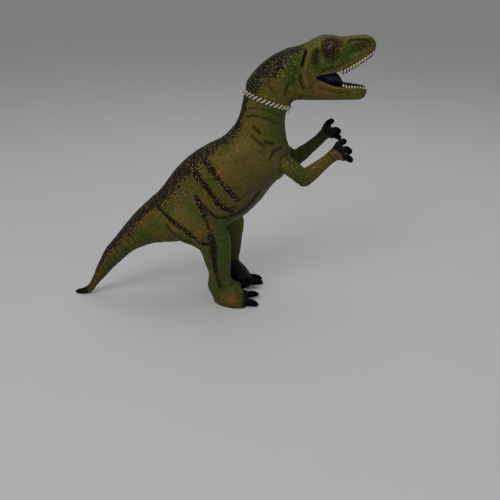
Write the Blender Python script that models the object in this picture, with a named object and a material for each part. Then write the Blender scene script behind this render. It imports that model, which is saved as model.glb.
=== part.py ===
"""Toy dinosaur figure: a two-legged hunter in soft vinyl, stuffed with fibre and sewn shut round the neck.

The figure stands on two feet and the tip of its tail. +X is forward, +Y its left side, +Z up, and the
origin is on the floor under the middle of its box.
"""
import bmesh
import bpy
import numpy as np
from math import cos, pi, radians, sin, tan
from mathutils import Matrix, Vector

# Overall sizes, in metres
LENGTH = 0.298
HEIGHT = 0.260
TORSO_WIDTH = 0.062
NECK_WIDTH = 0.037
HEAD_WIDTH = 0.036
JAW_WIDTH = 0.0305
TAIL_WIDTH = 0.038

# Castings
WALL = 0.0024
GAP = 0.0003
OVERRUN = 0.004
MOUTH_LIP = 0.0032

# Neck seam
SEAM_GROOVE_DEPTH = 0.0009
SEAM_GROOVE_WIDTH = 0.0044
STITCH_COUNT = 32
STITCH_REACH = 0.0014
THREAD_DIAMETER = 0.0012

# Legs
HIP_SPREAD = 0.040
LEG_WIDTH = 0.031
STRIDE = 0.009
TOE_LENGTH = 0.016
TOE_WIDTH = 0.0104
TOE_HEIGHT = 0.0088
CLAW_LENGTH = 0.0145
CLAW_THICKNESS = 0.0072
INNER_CLAW_RAISE = 0.0115
ANKLE_HEIGHT = 0.030
FOOT_SPLAY = radians(14)

# Arms
SHOULDER_SPREAD = 0.0325
ARM_ROOT_DIAMETER = 0.0170
ARM_SEAT_DEPTH = 0.0016
ARM_PLUG_DIAMETER = 0.0080
ARM_FLANGE_DIAMETER = 0.0125
ARM_FLANGE_THICKNESS = 0.0016
UPPER_ARM_REACH = 0.0245
FOREARM_REACH = 0.0335
FOREARM_DIAMETER = 0.0112
PALM_LENGTH = 0.0080
FINGER_LENGTH = 0.0115
FINGER_DIAMETER = 0.0058
SHOULDER_TILT = radians(48)
LEFT_ARM_RAISE = radians(6)

# Head fittings
EYE_DIAMETER = 0.0094
EYE_STAND = 0.0016
LID_DIAMETER = 0.0112
LID_RISE = 0.0012
MUZZLE_DENT_LENGTH = 0.0230
MUZZLE_DENT_HEIGHT = 0.0100
MUZZLE_DENT_DEPTH = 0.0010
TOOTH_LENGTH = 0.0030
TOOTH_PITCH = 0.0028
GUM_DIAMETER = 0.0014
TONGUE_WIDTH = 0.0125
TONGUE_THICKNESS = 0.0074

# Stations of the body from the neck seam to the tail tip: back x, back z, belly x, belly z and half width.
# X is a share of the length, Z of the height, and the width of the piece's own width.
NECK_RING_SHARE = (0.116, 0.817, 0.253, 0.763, 0.500)
TORSO_SHARES = (
    (0.110, 0.790, 0.244, 0.744, 0.290),
    (0.105, 0.758, 0.241, 0.715, 0.292),
    (0.095, 0.721, 0.243, 0.681, 0.305),
    (0.075, 0.688, 0.249, 0.646, 0.340),
    (0.041, 0.652, 0.259, 0.610, 0.403),
    (-0.002, 0.627, 0.261, 0.571, 0.452),
    (-0.049, 0.596, 0.239, 0.525, 0.476),
    (-0.093, 0.554, 0.206, 0.481, 0.492),
    (-0.132, 0.502, 0.164, 0.417, 0.500),
    (-0.166, 0.452, 0.118, 0.365, 0.500),
    (-0.199, 0.418, 0.058, 0.325, 0.484),
    (-0.229, 0.388, -0.019, 0.282, 0.452),
)
TAIL_SHARES = (
    (-0.256, 0.358, -0.103, 0.256, 0.645),
    (-0.281, 0.327, -0.177, 0.248, 0.526),
    (-0.308, 0.290, -0.231, 0.226, 0.434),
    (-0.338, 0.249, -0.275, 0.199, 0.355),
    (-0.363, 0.215, -0.309, 0.165, 0.295),
    (-0.385, 0.177, -0.343, 0.129, 0.245),
    (-0.408, 0.127, -0.375, 0.090, 0.197),
    (-0.432, 0.071, -0.410, 0.047, 0.148),
    (-0.455, 0.033, -0.442, 0.008, 0.116),
    (-0.476, 0.022, -0.470, 0.000, 0.090),
    (-0.492, 0.018, -0.492, 0.002, 0.060),
    (-0.500, 0.012, -0.500, 0.008, 0.020),
)
# Stations of the skull and upper jaw from the neck seam to the snout
SKULL_SHARES = (
    (0.120, 0.842, 0.262, 0.783, 0.508),
    (0.146, 0.885, 0.281, 0.788, 0.506),
    (0.191, 0.929, 0.303, 0.789, 0.500),
    (0.239, 0.956, 0.316, 0.794, 0.486),
    (0.285, 0.969, 0.322, 0.825, 0.467),
    (0.322, 0.990, 0.338, 0.857, 0.444),
    (0.350, 1.000, 0.358, 0.866, 0.417),
    (0.375, 0.998, 0.380, 0.871, 0.375),
    (0.402, 0.994, 0.402, 0.877, 0.333),
    (0.432, 0.998, 0.428, 0.893, 0.300),
    (0.460, 1.000, 0.455, 0.914, 0.267),
    (0.482, 0.996, 0.480, 0.934, 0.222),
    (0.495, 0.985, 0.495, 0.948, 0.153),
    (0.500, 0.972, 0.500, 0.957, 0.070),
)
# Stations of the lower jaw, from inside the cheeks to the chin: lip x, lip z, throat x, throat z, half width
JAW_SHARES = (
    (0.256, 0.890, 0.262, 0.805, 0.330),
    (0.280, 0.890, 0.284, 0.791, 0.450),
    (0.306, 0.881, 0.309, 0.788, 0.505),
    (0.330, 0.873, 0.330, 0.788, 0.500),
    (0.361, 0.867, 0.361, 0.788, 0.459),
    (0.391, 0.855, 0.391, 0.788, 0.403),
    (0.420, 0.844, 0.420, 0.788, 0.354),
    (0.450, 0.839, 0.450, 0.788, 0.305),
    (0.472, 0.835, 0.468, 0.790, 0.243),
    (0.482, 0.829, 0.478, 0.796, 0.157),
    (0.485, 0.817, 0.483, 0.805, 0.072),
)
# Stations of the hollow between the jaws: palate x, palate z, floor x, floor z, and the jaw's width there
MOUTH_SHARES = (
    (0.312, 0.873, 0.312, 0.856, 0.36),
    (0.330, 0.884, 0.330, 0.850, 0.46),
    (0.360, 0.893, 0.360, 0.847, 0.45),
    (0.391, 0.900, 0.391, 0.838, 0.40),
    (0.420, 0.909, 0.420, 0.824, 0.35),
    (0.450, 0.930, 0.450, 0.810, 0.30),
    (0.470, 0.945, 0.468, 0.812, 0.24),
    (0.484, 0.951, 0.476, 0.836, 0.17),
)
# Stations of a leg from inside the hip to the sole: front x, front z, rear x, rear z, half width, how far out
# it stands as a share of the hip's spread, and how much of the stride the left leg is ahead there
LEG_SHARES = (
    (-0.008, 0.500, -0.100, 0.472, 0.220, 0.310, 0.30),
    (0.010, 0.434, -0.145, 0.392, 0.430, 0.465, 0.60),
    (0.025, 0.373, -0.141, 0.327, 0.500, 0.525, 1.20),
    (0.047, 0.338, -0.104, 0.288, 0.484, 0.537, 1.60),
    (0.065, 0.300, -0.064, 0.265, 0.435, 0.512, 1.50),
    (0.069, 0.262, -0.038, 0.244, 0.387, 0.500, 1.35),
    (0.068, 0.228, -0.029, 0.219, 0.355, 0.500, 1.20),
    (0.068, 0.181, -0.020, 0.177, 0.316, 0.487, 1.05),
    (0.065, 0.137, -0.010, 0.135, 0.290, 0.475, 0.95),
    (0.064, 0.115, -0.012, 0.108, 0.297, 0.475, 0.95),
    (0.091, 0.079, -0.015, 0.081, 0.345, 0.470, 0.80),
    (0.109, 0.050, -0.008, 0.046, 0.392, 0.465, 0.65),
    (0.121, 0.019, 0.001, 0.019, 0.408, 0.460, 0.55),
    (0.121, 0.000, 0.003, 0.000, 0.390, 0.460, 0.55),
)
# A toe from inside the foot to its claw and the claw to its tip: share of the length, then of the thickness
TOE_SHARES = ((0.00, 0.42), (0.30, 0.86), (0.62, 1.04), (0.88, 0.94), (1.00, 0.72))
CLAW_SHARES = ((0.00, 0.80), (0.18, 1.00), (0.45, 0.99), (0.70, 0.86), (0.88, 0.62), (0.97, 0.34),
               (1.00, 0.10))
TOE_ARCH_SHARE = 0.18
# The three claws of a foot from the outer one: root along the length and out from the middle as a share of
# the hip's spread, root height and tip height as shares of the claw's thickness, and the splay outwards
CLAW_PLACE_SHARES = (
    (0.112, 0.655, 0.66, 0.30, radians(4)),
    (0.115, 0.350, 0.74, 0.80, radians(-7)),
    (0.090, 0.150, 0.54, 0.66, radians(-12)),
)

# Length of the arm's round root over its diameter, then the slopes of the upper arm, the forearm and the hand
ARM_ROOT_SHARE = 0.26
UPPER_ARM_SHARES = (0.80, 0.59, -0.42)
FOREARM_SHARES = (0.765, 0.03, 0.690)
HAND_SHARES = (0.80, -0.05, 0.60)
# The elbow's two half sizes over the root's, then the forearm along its length: place, height and width
ELBOW_SHARES = (0.88, 0.86)
FOREARM_GIRTH_SHARES = (
    (0.22, 1.30, 1.20),
    (0.45, 1.12, 1.08),
    (0.70, 1.00, 0.98),
    (0.90, 0.98, 0.96),
    (1.00, 1.00, 1.00),
)
PALM_GIRTH_SHARES = ((0.55, 1.10, 1.06), (1.00, 0.92, 0.90), (1.20, 0.60, 0.62))
# Fingers from the upper one: start along the hand, up across it and outwards, then the two halves' slopes
FINGER_SHARES = (
    (-0.60, 0.75, 0.25, radians(16), radians(-12)),
    (-0.35, -0.20, -0.35, radians(-26), radians(-72)),
    (-0.75, -0.95, 0.30, radians(-42), radians(-74)),
)

# Places on the figure
SHOULDER_SHARE = (0.233, 0.577)
EYE_SHARE = (0.361, 0.959)
MUZZLE_SHARE = 0.29
MUZZLE_EASE_SHARE = 0.05
MUZZLE_DENT_SHARE = (0.455, 0.966)
# Rise of the dent's line to the front, and how much of the ball that makes it stays off the muzzle
MUZZLE_DENT_SLOPE = radians(17)
DENT_STAND_SHARE = 0.70
# Where the two rows of teeth start along the length, then how the gum sits in the lip
TOOTH_ROW_SHARES = (0.396, 0.404)
GUM_INSET_SHARE = 0.55
GUM_SINK_SHARE = 1.00
GUM_TUCK_SHARE = 0.25
LOWER_TOOTH_SHARE = 0.72
HEAD_CAVITY_END_SHARE = 0.275
TAIL_CAVITY_END_SHARE = -0.385
LEG_CAVITY_END_SHARE = 0.15
# The tongue from its root: x, z, then half its height and half its width
TONGUE_SHARES = (
    (0.320, 0.860, 0.30, 0.34),
    (0.338, 0.864, 0.52, 0.46),
    (0.360, 0.861, 0.58, 0.50),
    (0.382, 0.852, 0.52, 0.46),
    (0.402, 0.842, 0.40, 0.34),
    (0.413, 0.836, 0.24, 0.18),
    (0.418, 0.834, 0.07, 0.05),
)

# Facet counts
BODY_SIDES = 24
BODY_RINGS = 34
LIMB_SIDES = 16
THREAD_SIDES = 5
HOLE_SIDES = 5


def make_collection(name, hidden=False):
    collection = bpy.data.collections.new(name)
    bpy.context.scene.collection.children.link(collection)
    collection.hide_render = hidden
    return collection


def make_material(name, colour, roughness, coat=0.0):
    material = bpy.data.materials.new(name)
    material.use_nodes = True
    shader = material.node_tree.nodes["Principled BSDF"]
    shader.inputs["Base Color"].default_value = (*colour, 1.0)
    shader.inputs["Roughness"].default_value = roughness
    shader.inputs["Metallic"].default_value = 0.0
    shader.inputs["Coat Weight"].default_value = coat
    return material


def smooth_rows(rows, count):
    """Carry a smooth curve through every row and read it at count even steps of its own length."""
    rows = np.asarray(rows, float)
    steps = np.linalg.norm(np.diff(rows[:, :4] if rows.shape[1] > 4 else rows, axis=0), axis=1)
    knots = np.concatenate(([0.0], np.cumsum(np.maximum(steps, 1e-9))))
    slopes = np.gradient(rows, knots, axis=0)
    wanted = np.linspace(0.0, knots[-1], count)
    index = np.clip(np.searchsorted(knots, wanted) - 1, 0, len(knots) - 2)
    width = (knots[index + 1] - knots[index])[:, None]
    t = ((wanted - knots[index]) / width[:, 0])[:, None]
    start, end = rows[index], rows[index + 1]
    leave, arrive = slopes[index] * width, slopes[index + 1] * width
    return (start * (2 * t**3 - 3 * t**2 + 1) + leave * (t**3 - 2 * t**2 + t)
            + end * (3 * t**2 - 2 * t**3) + arrive * (t**3 - t**2))


def real_stations(shares, width):
    """Turn shares into metres: back point, belly point and half width."""
    table = np.asarray(shares, float)
    scales = np.array([LENGTH, HEIGHT, LENGTH, HEIGHT, width])
    return table[:, :5] * scales


def section(station, sides, inset=0.0, lean=0.0, upper_power=2.2, lower_power=2.2, middle_y=0.0):
    """Points of one cross-section: a rounded oval through its back point and its belly point."""
    back = np.array([station[0], middle_y, station[1]])
    belly = np.array([station[2], middle_y, station[3]])
    middle = (back + belly) / 2
    upright = (back - belly) / 2
    tall = np.linalg.norm(upright)
    upright = upright / tall * max(tall - inset, tall / 20)
    wide = max(station[4] - inset, station[4] / 20)
    turn = np.arange(sides) * 2 * pi / sides
    along, across = np.cos(turn), np.sin(turn)
    power = np.where(along >= 0, upper_power, lower_power)
    along = np.sign(along) * np.abs(along) ** (2 / power)
    across = np.sign(across) * np.abs(across) ** (2 / power)
    sideways = (across * wide * (1 + lean * along))[:, None] * np.array([0.0, 1.0, 0.0])
    return middle + along[:, None] * upright + sideways


def mesh_object(name, points, faces, collection):
    mesh = bpy.data.meshes.new(name)
    mesh.from_pydata([tuple(p) for p in points], [], faces)
    shape = bmesh.new()
    shape.from_mesh(mesh)
    bmesh.ops.recalc_face_normals(shape, faces=shape.faces)
    if shape.calc_volume(signed=True) < 0:
        bmesh.ops.reverse_faces(shape, faces=shape.faces)
    shape.to_mesh(mesh)
    shape.free()
    thing = bpy.data.objects.new(name, mesh)
    collection.objects.link(thing)
    return thing


def loft(name, rings, collection, closed=False):
    """Skin a row of rings with equal point counts, with flat ends or as a closed loop."""
    sides = len(rings[0])
    points = np.concatenate(rings)
    count = len(rings)
    faces = []
    for ring in range(count if closed else count - 1):
        following = (ring + 1) % count
        for side in range(sides):
            beside = (side + 1) % sides
            faces.append((ring * sides + side, ring * sides + beside,
                          following * sides + beside, following * sides + side))
    if not closed:
        faces.append(tuple(range(sides)))
        faces.append(tuple((count - 1) * sides + side for side in range(sides)))
    return mesh_object(name, points, faces, collection)


def unit(vector):
    return vector / np.linalg.norm(vector)


def sweep_rings(path, heights, widths, sides, up=(0.0, 0.0, 1.0), closed=False):
    """Ovals square to a path: each takes its height along the turned up direction and its width across it."""
    path = np.asarray(path, float)
    if closed:
        tangents = np.roll(path, -1, axis=0) - np.roll(path, 1, axis=0)
    else:
        tangents = np.gradient(path, axis=0)
    rings = []
    turn = np.arange(sides) * 2 * pi / sides
    lift = np.asarray(up, float)
    for place, tangent, high, wide in zip(path, tangents, heights, widths):
        tangent = unit(tangent)
        across = unit(np.cross(tangent, lift))
        rise = np.cross(across, tangent)
        rings.append(place + np.cos(turn)[:, None] * rise * high + np.sin(turn)[:, None] * across * wide)
    return rings


def settle(thing):
    """Replace the object's mesh by what its modifiers make of it."""
    graph = bpy.context.evaluated_depsgraph_get()
    made = bpy.data.meshes.new_from_object(thing.evaluated_get(graph))
    made.name = thing.name
    thing.modifiers.clear()
    thing.data = made
    return thing


def combine(thing, tool, operation):
    """Join, cut or keep the common part of two closed bodies."""
    step = thing.modifiers.new(operation.lower(), 'BOOLEAN')
    step.operation = operation
    step.solver = 'EXACT'
    step.object = tool
    bpy.context.view_layer.update()
    settle(thing)
    bpy.data.objects.remove(tool)
    return thing


def cylinder_between(name, start, end, radius, sides, collection):
    start, end = np.asarray(start, float), np.asarray(end, float)
    axis = unit(end - start)
    side = unit(np.cross(axis, (0.0, 0.0, 1.0) if abs(axis[2]) < 0.9 else (1.0, 0.0, 0.0)))
    rings = sweep_rings([start, end], [radius] * 2, [radius] * 2, sides, up=np.cross(side, axis))
    return loft(name, rings, collection)


def finish(thing, material, angle=radians(38)):
    mesh = thing.data
    mesh.materials.clear()
    mesh.materials.append(material)
    mesh.shade_smooth()
    mesh.set_sharp_from_angle(angle=angle)
    return thing


# Neck seam
def seam_frame():
    """Middle of the seam, its direction towards the head, and its two half sizes."""
    ring = real_stations([NECK_RING_SHARE], NECK_WIDTH)[0]
    back = np.array([ring[0], 0.0, ring[1]])
    belly = np.array([ring[2], 0.0, ring[3]])
    forward = unit(belly - back)
    normal = np.cross(forward, (0.0, 1.0, 0.0))
    normal = normal if normal[2] > 0 else -normal
    return (back + belly) / 2, normal, forward, np.linalg.norm(belly - back) / 2, ring[4]


def seam_ring(distance, inset):
    """The seam's station moved along the neck and drawn in."""
    ring = real_stations([NECK_RING_SHARE], NECK_WIDTH)[0].copy()
    middle, normal, forward, reach, wide = seam_frame()
    ring[0:2] += normal[[0, 2]] * distance + forward[[0, 2]] * inset
    ring[2:4] += normal[[0, 2]] * distance - forward[[0, 2]] * inset
    ring[4] -= inset
    return ring


def seam_point(angle, distance, inset):
    """A point of the seam's oval, with the oval's outward direction there."""
    middle, normal, forward, reach, wide = seam_frame()
    side = np.array([0.0, 1.0, 0.0])
    power = 2 / 2.2
    along = np.sign(cos(angle)) * abs(cos(angle)) ** power
    across = np.sign(sin(angle)) * abs(sin(angle)) ** power
    outward = unit(forward * along / reach + side * across / wide)
    place = middle + forward * along * reach + side * across * wide
    return place - outward * inset + normal * distance, outward


def even_angles(count):
    """Angles that step round the seam's oval in equal lengths."""
    fine = np.linspace(0.0, 2 * pi, 721)
    places = np.array([seam_point(angle, 0.0, 0.0)[0] for angle in fine])
    walked = np.concatenate(([0.0], np.cumsum(np.linalg.norm(np.diff(places, axis=0), axis=1))))
    return np.interp(np.arange(count) * walked[-1] / count, walked, fine)


def needle_holes(side, collection):
    """Radial holes through one casting's rim: one below each stitch, or one above it."""
    angles = even_angles(2 * STITCH_COUNT)[0 if side < 0 else 1::2]
    radius = THREAD_DIAMETER / 2 + GAP
    tools = []
    for number, angle in enumerate(angles):
        place, outward = seam_point(angle, side * STITCH_REACH, WALL / 2)
        start = place - outward * (WALL / 2 + OVERRUN / 2)
        end = place + outward * (WALL / 2 + OVERRUN / 2)
        tools.append(cylinder_between("hole_%d" % number, start, end, radius, HOLE_SIDES, collection))
    return join_loose(tools, "needle_holes")


def join_loose(things, name):
    """Gather bodies that don't touch into one cutter."""
    shape = bmesh.new()
    for thing in things:
        shape.from_mesh(thing.data)
    mesh = bpy.data.meshes.new(name)
    shape.to_mesh(mesh)
    shape.free()
    collection = things[0].users_collection[0]
    for thing in things:
        bpy.data.objects.remove(thing)
    joined = bpy.data.objects.new(name, mesh)
    collection.objects.link(joined)
    return joined


def thread_path():
    """One unbroken thread: out below the seam, over it, in above it and back under it to the next hole."""
    angles = even_angles(4 * STITCH_COUNT)
    radius = THREAD_DIAMETER / 2
    share = STITCH_REACH / (SEAM_GROOVE_WIDTH / 2)
    outer = SEAM_GROOVE_DEPTH * (1 - share) - GAP - radius
    outer_middle = outer + (SEAM_GROOVE_DEPTH - GAP) * share / 2
    inner = WALL + GAP * 2 + radius
    path = []
    for stitch in range(STITCH_COUNT):
        start, quarter, half, last = angles[4 * stitch:4 * stitch + 4]
        path.append(seam_point(start, -STITCH_REACH, inner)[0])
        path.append(seam_point(start, -STITCH_REACH, outer)[0])
        path.append(seam_point(quarter, 0.0, outer_middle)[0])
        path.append(seam_point(half, STITCH_REACH, outer)[0])
        path.append(seam_point(half, STITCH_REACH, inner)[0])
        path.append(seam_point(last, 0.0, inner)[0])
    return np.array(path)


def longer_ends(path, extra):
    """The same path with each end carried on by a little."""
    path = path.copy()
    path[0] += unit(path[0] - path[1]) * extra
    path[-1] += unit(path[-1] - path[-2]) * extra
    return path


def tube_rings(path, radius, sides):
    """Rings along a closed path, each turned with the least twist from the one before."""
    before = path - np.roll(path, 1, axis=0)
    after = np.roll(path, -1, axis=0) - path
    before /= np.linalg.norm(before, axis=1)[:, None]
    after /= np.linalg.norm(after, axis=1)[:, None]
    tangents = before + after
    tangents /= np.linalg.norm(tangents, axis=1)[:, None]
    lift = unit(np.cross(tangents[0], (0.0, 0.0, 1.0)))
    frames = [lift]
    for tangent in tangents[1:]:
        lift = unit(frames[-1] - tangent * np.dot(frames[-1], tangent))
        frames.append(lift)
    closing = unit(frames[-1] - tangents[0] * np.dot(frames[-1], tangents[0]))
    wrong = np.arctan2(np.dot(np.cross(frames[0], closing), tangents[0]), np.dot(frames[0], closing))
    wrong = (wrong + pi / sides) % (2 * pi / sides) - pi / sides
    rings = []
    turn = np.arange(sides) * 2 * pi / sides
    for number, (place, tangent, rise) in enumerate(zip(path, tangents, frames)):
        angles = turn - wrong * number / len(path)
        across = np.cross(tangent, rise)
        rings.append(place + radius * (np.cos(angles)[:, None] * rise + np.sin(angles)[:, None] * across))
    closing_twist = np.arctan2(np.dot(np.cross(frames[0], closing), tangents[0]), np.dot(frames[0], closing))
    skipped = int(round((closing_twist - wrong) / (2 * pi / sides)))
    return rings, skipped


def thread_loop(name, collection):
    path = thread_path()
    rings, skipped = tube_rings(path, THREAD_DIAMETER / 2, THREAD_SIDES)
    sides = THREAD_SIDES
    count = len(rings)
    faces = []
    for ring in range(count):
        following = (ring + 1) % count
        shift = skipped if following == 0 else 0
        for side in range(sides):
            beside = (side + 1) % sides
            faces.append((ring * sides + side, ring * sides + beside,
                          following * sides + (beside + shift) % sides,
                          following * sides + (side + shift) % sides))
    gap = least_gap(path)
    print("least gap of the thread to itself: %.2f mm" % (gap * 1000))
    return mesh_object(name, np.concatenate(rings), faces, collection)


def least_gap(path):
    """Smallest distance between the surfaces of stretches of the thread that aren't neighbours."""
    nexts = np.roll(path, -1, axis=0)
    steps = np.linspace(0.0, 1.0, 5)[:-1]
    points = np.concatenate([path + (nexts - path) * step for step in steps])
    order = np.concatenate([np.arange(len(path)) + step for step in steps])
    best = LENGTH
    for point, place in zip(points, order):
        apart = np.abs(order - place)
        apart = np.minimum(apart, len(path) - apart)
        distance = np.linalg.norm(points - point, axis=1)
        best = min(best, distance[apart >= 2.5].min())
    return best - THREAD_DIAMETER


# Body casting
def body_stations():
    torso = real_stations(TORSO_SHARES, TORSO_WIDTH)
    tail = real_stations(TAIL_SHARES, TAIL_WIDTH)
    return np.concatenate([torso, tail])


def torso_and_tail(name, collection):
    rims = [seam_ring(-GAP / 2, SEAM_GROOVE_DEPTH), seam_ring(-SEAM_GROOVE_WIDTH / 2, 0.0)]
    stations = smooth_rows(np.concatenate([[rims[1]], body_stations()]), BODY_RINGS)
    rings = [section(rims[0], BODY_SIDES)]
    for station in stations:
        rings.append(section(station, BODY_SIDES, lean=-0.06 if station[4] > WALL * 4 else 0.0))
    return loft(name, rings, collection)


def body_cavity(name, collection, extra=0.0, end_share=TAIL_CAVITY_END_SHARE, mouth=OVERRUN):
    """The hollow inside the torso and the root of the tail, open at the neck."""
    rows = body_stations()
    rows = rows[rows[:, 0] > end_share * LENGTH]
    straight = [seam_ring(mouth, 0.0), seam_ring(-SEAM_GROOVE_WIDTH, 0.0)]
    stations = np.concatenate([straight[:1], smooth_rows(np.concatenate([straight[1:], rows]),
                                                         BODY_RINGS * 2 // 3)])
    rings = [section(station, BODY_SIDES * 3 // 4, inset=WALL + extra) for station in stations]
    return loft(name, rings, collection)


def leg_stations(side, count=16):
    """Leg stations with the middle's y and the step forward worked in. The left leg stands ahead."""
    table = np.asarray(LEG_SHARES, float)
    rows = np.column_stack([real_stations(table, LEG_WIDTH), table[:, 5] * HIP_SPREAD])
    if side > 0:
        rows[:, [0, 2]] += (table[:, 6] * STRIDE)[:, None]
    return smooth_rows(rows, count)


def leg(name, side, collection):
    """A leg from inside the hip to the flat sole."""
    rings = []
    for row in leg_stations(side):
        low = 2.7 if row[1] < TOE_HEIGHT * 2 else 2.3
        rings.append(section(row, LIMB_SIDES, middle_y=side * row[5], upper_power=low, lower_power=2.1,
                             lean=0.08))
    for ring in rings:
        turned = tan(FOOT_SPLAY) * np.clip(1 - ring[:, 2].mean() / ANKLE_HEIGHT, 0.0, 1.0)
        ring[:, 1] += side * turned * (ring[:, 0] - ring[:, 0].mean())
    rings[-1][:, 2] = 0.0
    return loft(name, rings, collection)


def leg_hollow(name, side, collection, extra=0.0):
    """The hollow of the thigh and the shank, which opens into the torso's."""
    rows = leg_stations(side)
    rows = rows[rows[:, 1] > LEG_CAVITY_END_SHARE * HEIGHT]
    if extra:
        rows = rows[:-1]
    rings = [section(row, LIMB_SIDES * 3 // 4, middle_y=side * row[5], inset=WALL + extra,
                     upper_power=2.3, lower_power=2.1) for row in rows]
    return loft(name, rings, collection)


def toes(side, collection):
    """Three toes with their claws; the inner one is held up."""
    things = []
    stride = STRIDE * LEG_SHARES[-1][6] if side > 0 else 0.0
    for number, (along, across, low, high, splay) in enumerate(CLAW_PLACE_SHARES):
        raised = INNER_CLAW_RAISE if number == 2 else CLAW_THICKNESS
        root = np.array([along * LENGTH + stride, side * across * HIP_SPREAD, low * raised])
        tip_height = high * raised
        if number == 2:
            root[2], tip_height = raised, raised * 1.06
        direction = np.array([cos(splay), side * sin(splay), 0.0])
        tip = root + direction * CLAW_LENGTH * (0.82 if number == 2 else 1.0)
        tip[2] = tip_height
        start = root - direction * TOE_LENGTH
        start[2] = root[2] + (TOE_HEIGHT - CLAW_THICKNESS) * 0.5
        end = root + (tip - root) * 0.18
        end[2] = root[2] + GAP
        path = [start + (end - start) * share for share, thick in TOE_SHARES]
        for place, (share, thick) in zip(path, TOE_SHARES):
            place[2] += TOE_HEIGHT * TOE_ARCH_SHARE * sin(pi * share)
        tall = [TOE_HEIGHT / 2 * thick for share, thick in TOE_SHARES]
        tall = np.minimum(tall, np.array(path)[:, 2] - GAP)
        wide = [TOE_WIDTH / 2 * thick for share, thick in TOE_SHARES]
        things.append(loft("toe", sweep_rings(path, tall, wide, 9), collection))
        path = [root + (tip - root) * share for share, thick in CLAW_SHARES]
        thick = [CLAW_THICKNESS / 2 * (0.85 if number == 2 else 1.0) * thick for share, thick in CLAW_SHARES]
        thick = np.minimum(thick, np.maximum(np.array(path)[:, 2] - GAP, GAP))
        things.append(loft("claw", sweep_rings(path, thick, thick, 8), collection))
    return things


def shoulder_frame(side):
    """Middle of the arm's seat on the chest and the outward axis that the arm turns about."""
    place = np.array([SHOULDER_SHARE[0] * LENGTH, side * SHOULDER_SPREAD / 2, SHOULDER_SHARE[1] * HEIGHT])
    axis = np.array([sin(SHOULDER_TILT), side * cos(SHOULDER_TILT), 0.0])
    return place, axis


def make_body(parts, cutters):
    body = torso_and_tail("body_skin", parts)
    for side in (-1, 1):
        limb = leg("leg", side, cutters)
        for toe in toes(side, cutters):
            combine(limb, toe, 'UNION')
        combine(body, limb, 'UNION')
    hollow = body_cavity("cavity", cutters)
    for side in (-1, 1):
        combine(hollow, leg_hollow("leg_hollow", side, cutters), 'UNION')
    combine(body, hollow, 'DIFFERENCE')
    for side in (-1, 1):
        seat, axis = shoulder_frame(side)
        radius = ARM_ROOT_DIAMETER / 2 + GAP
        boss = cylinder_between("boss", seat - axis * WALL * 1.5, seat - axis * GAP / 2, radius + GAP, 24,
                                cutters)
        combine(body, boss, 'UNION')
        room = cylinder_between("room", seat - axis * (WALL + ARM_FLANGE_THICKNESS + GAP * 3),
                                seat - axis * WALL, ARM_FLANGE_DIAMETER / 2 + GAP * 2, 20, cutters)
        combine(body, room, 'DIFFERENCE')
        recess = cylinder_between("recess", seat, seat + axis * OVERRUN * 4, radius, 24, cutters)
        combine(body, recess, 'DIFFERENCE')
        bore = cylinder_between("bore", seat - axis * OVERRUN * 2, seat + axis * OVERRUN,
                                ARM_PLUG_DIAMETER / 2 + GAP, 16, cutters)
        combine(body, bore, 'DIFFERENCE')
    combine(body, needle_holes(-1, cutters), 'DIFFERENCE')
    return body


# Head casting
def skull_rings():
    rims = [seam_ring(GAP / 2, SEAM_GROOVE_DEPTH), seam_ring(SEAM_GROOVE_WIDTH / 2, 0.0)]
    stations = smooth_rows(np.concatenate([[rims[1]], real_stations(SKULL_SHARES, HEAD_WIDTH)]), 24)
    rings = [section(rims[0], BODY_SIDES)]
    for station in stations:
        ahead = np.clip((station[2] / LENGTH - MUZZLE_SHARE) / MUZZLE_EASE_SHARE, 0.0, 1.0)
        rings.append(section(station, BODY_SIDES, upper_power=2.2 + 0.3 * ahead,
                             lower_power=2.2 + 2.0 * ahead))
    return rings


def jaw_rings(sides=18):
    stations = smooth_rows(real_stations(JAW_SHARES, JAW_WIDTH), 14)
    return [section(station, sides, upper_power=4.0, lower_power=2.4) for station in stations]


def mouth_hollow(name, collection):
    table = np.asarray(MOUTH_SHARES, float)
    stations = real_stations(table, JAW_WIDTH)
    stations[:, 4] = np.maximum(stations[:, 4] - MOUTH_LIP, MOUTH_LIP / 2)
    rings = [section(row, 18, upper_power=2.6, lower_power=2.6) for row in smooth_rows(stations, 11)]
    return loft(name, rings, collection)


def head_cavity(name, collection, extra=0.0, mouth=OVERRUN):
    rows = real_stations(SKULL_SHARES, HEAD_WIDTH)
    rows = rows[rows[:, 0] < HEAD_CAVITY_END_SHARE * LENGTH]
    straight = [seam_ring(-mouth, 0.0), seam_ring(SEAM_GROOVE_WIDTH, 0.0)]
    rows = rows[rows[:, 0] > straight[1][0]]
    stations = np.concatenate([straight[:1], smooth_rows(np.concatenate([straight[1:], rows]), 8)])
    rings = [section(station, BODY_SIDES * 3 // 4, inset=WALL + extra) for station in stations]
    return loft(name, rings, collection)


def skull_half_width(x, z):
    """Half width of the skull at a point of its middle plane, read from its sections."""
    best = None
    stations = smooth_rows(real_stations(SKULL_SHARES, HEAD_WIDTH), 60)
    for station in stations:
        back, belly = station[[0, 1]], station[[2, 3]]
        axis = (back - belly) / 2
        offset = np.array([x, z]) - (back + belly) / 2
        up = np.dot(offset, axis) / np.dot(axis, axis)
        away = np.linalg.norm(offset - axis * up)
        if abs(up) < 1 and (best is None or away < best[0]):
            best = (away, station[4] * (1 - abs(up) ** 2.4) ** (1 / 2.4))
    return best[1]


def on_skull(share, side):
    """A point on the side of the skull and the outward direction there, read from its sections."""
    x, z = share[0] * LENGTH, share[1] * HEIGHT
    step = EYE_DIAMETER / 2
    along = (skull_half_width(x + step, z) - skull_half_width(x - step, z)) / step / 2
    up = (skull_half_width(x, z + step / 2) - skull_half_width(x, z - step)) / step / 1.5
    return np.array([x, side * skull_half_width(x, z), z]), unit(np.array([-along, side, -up]))


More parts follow.
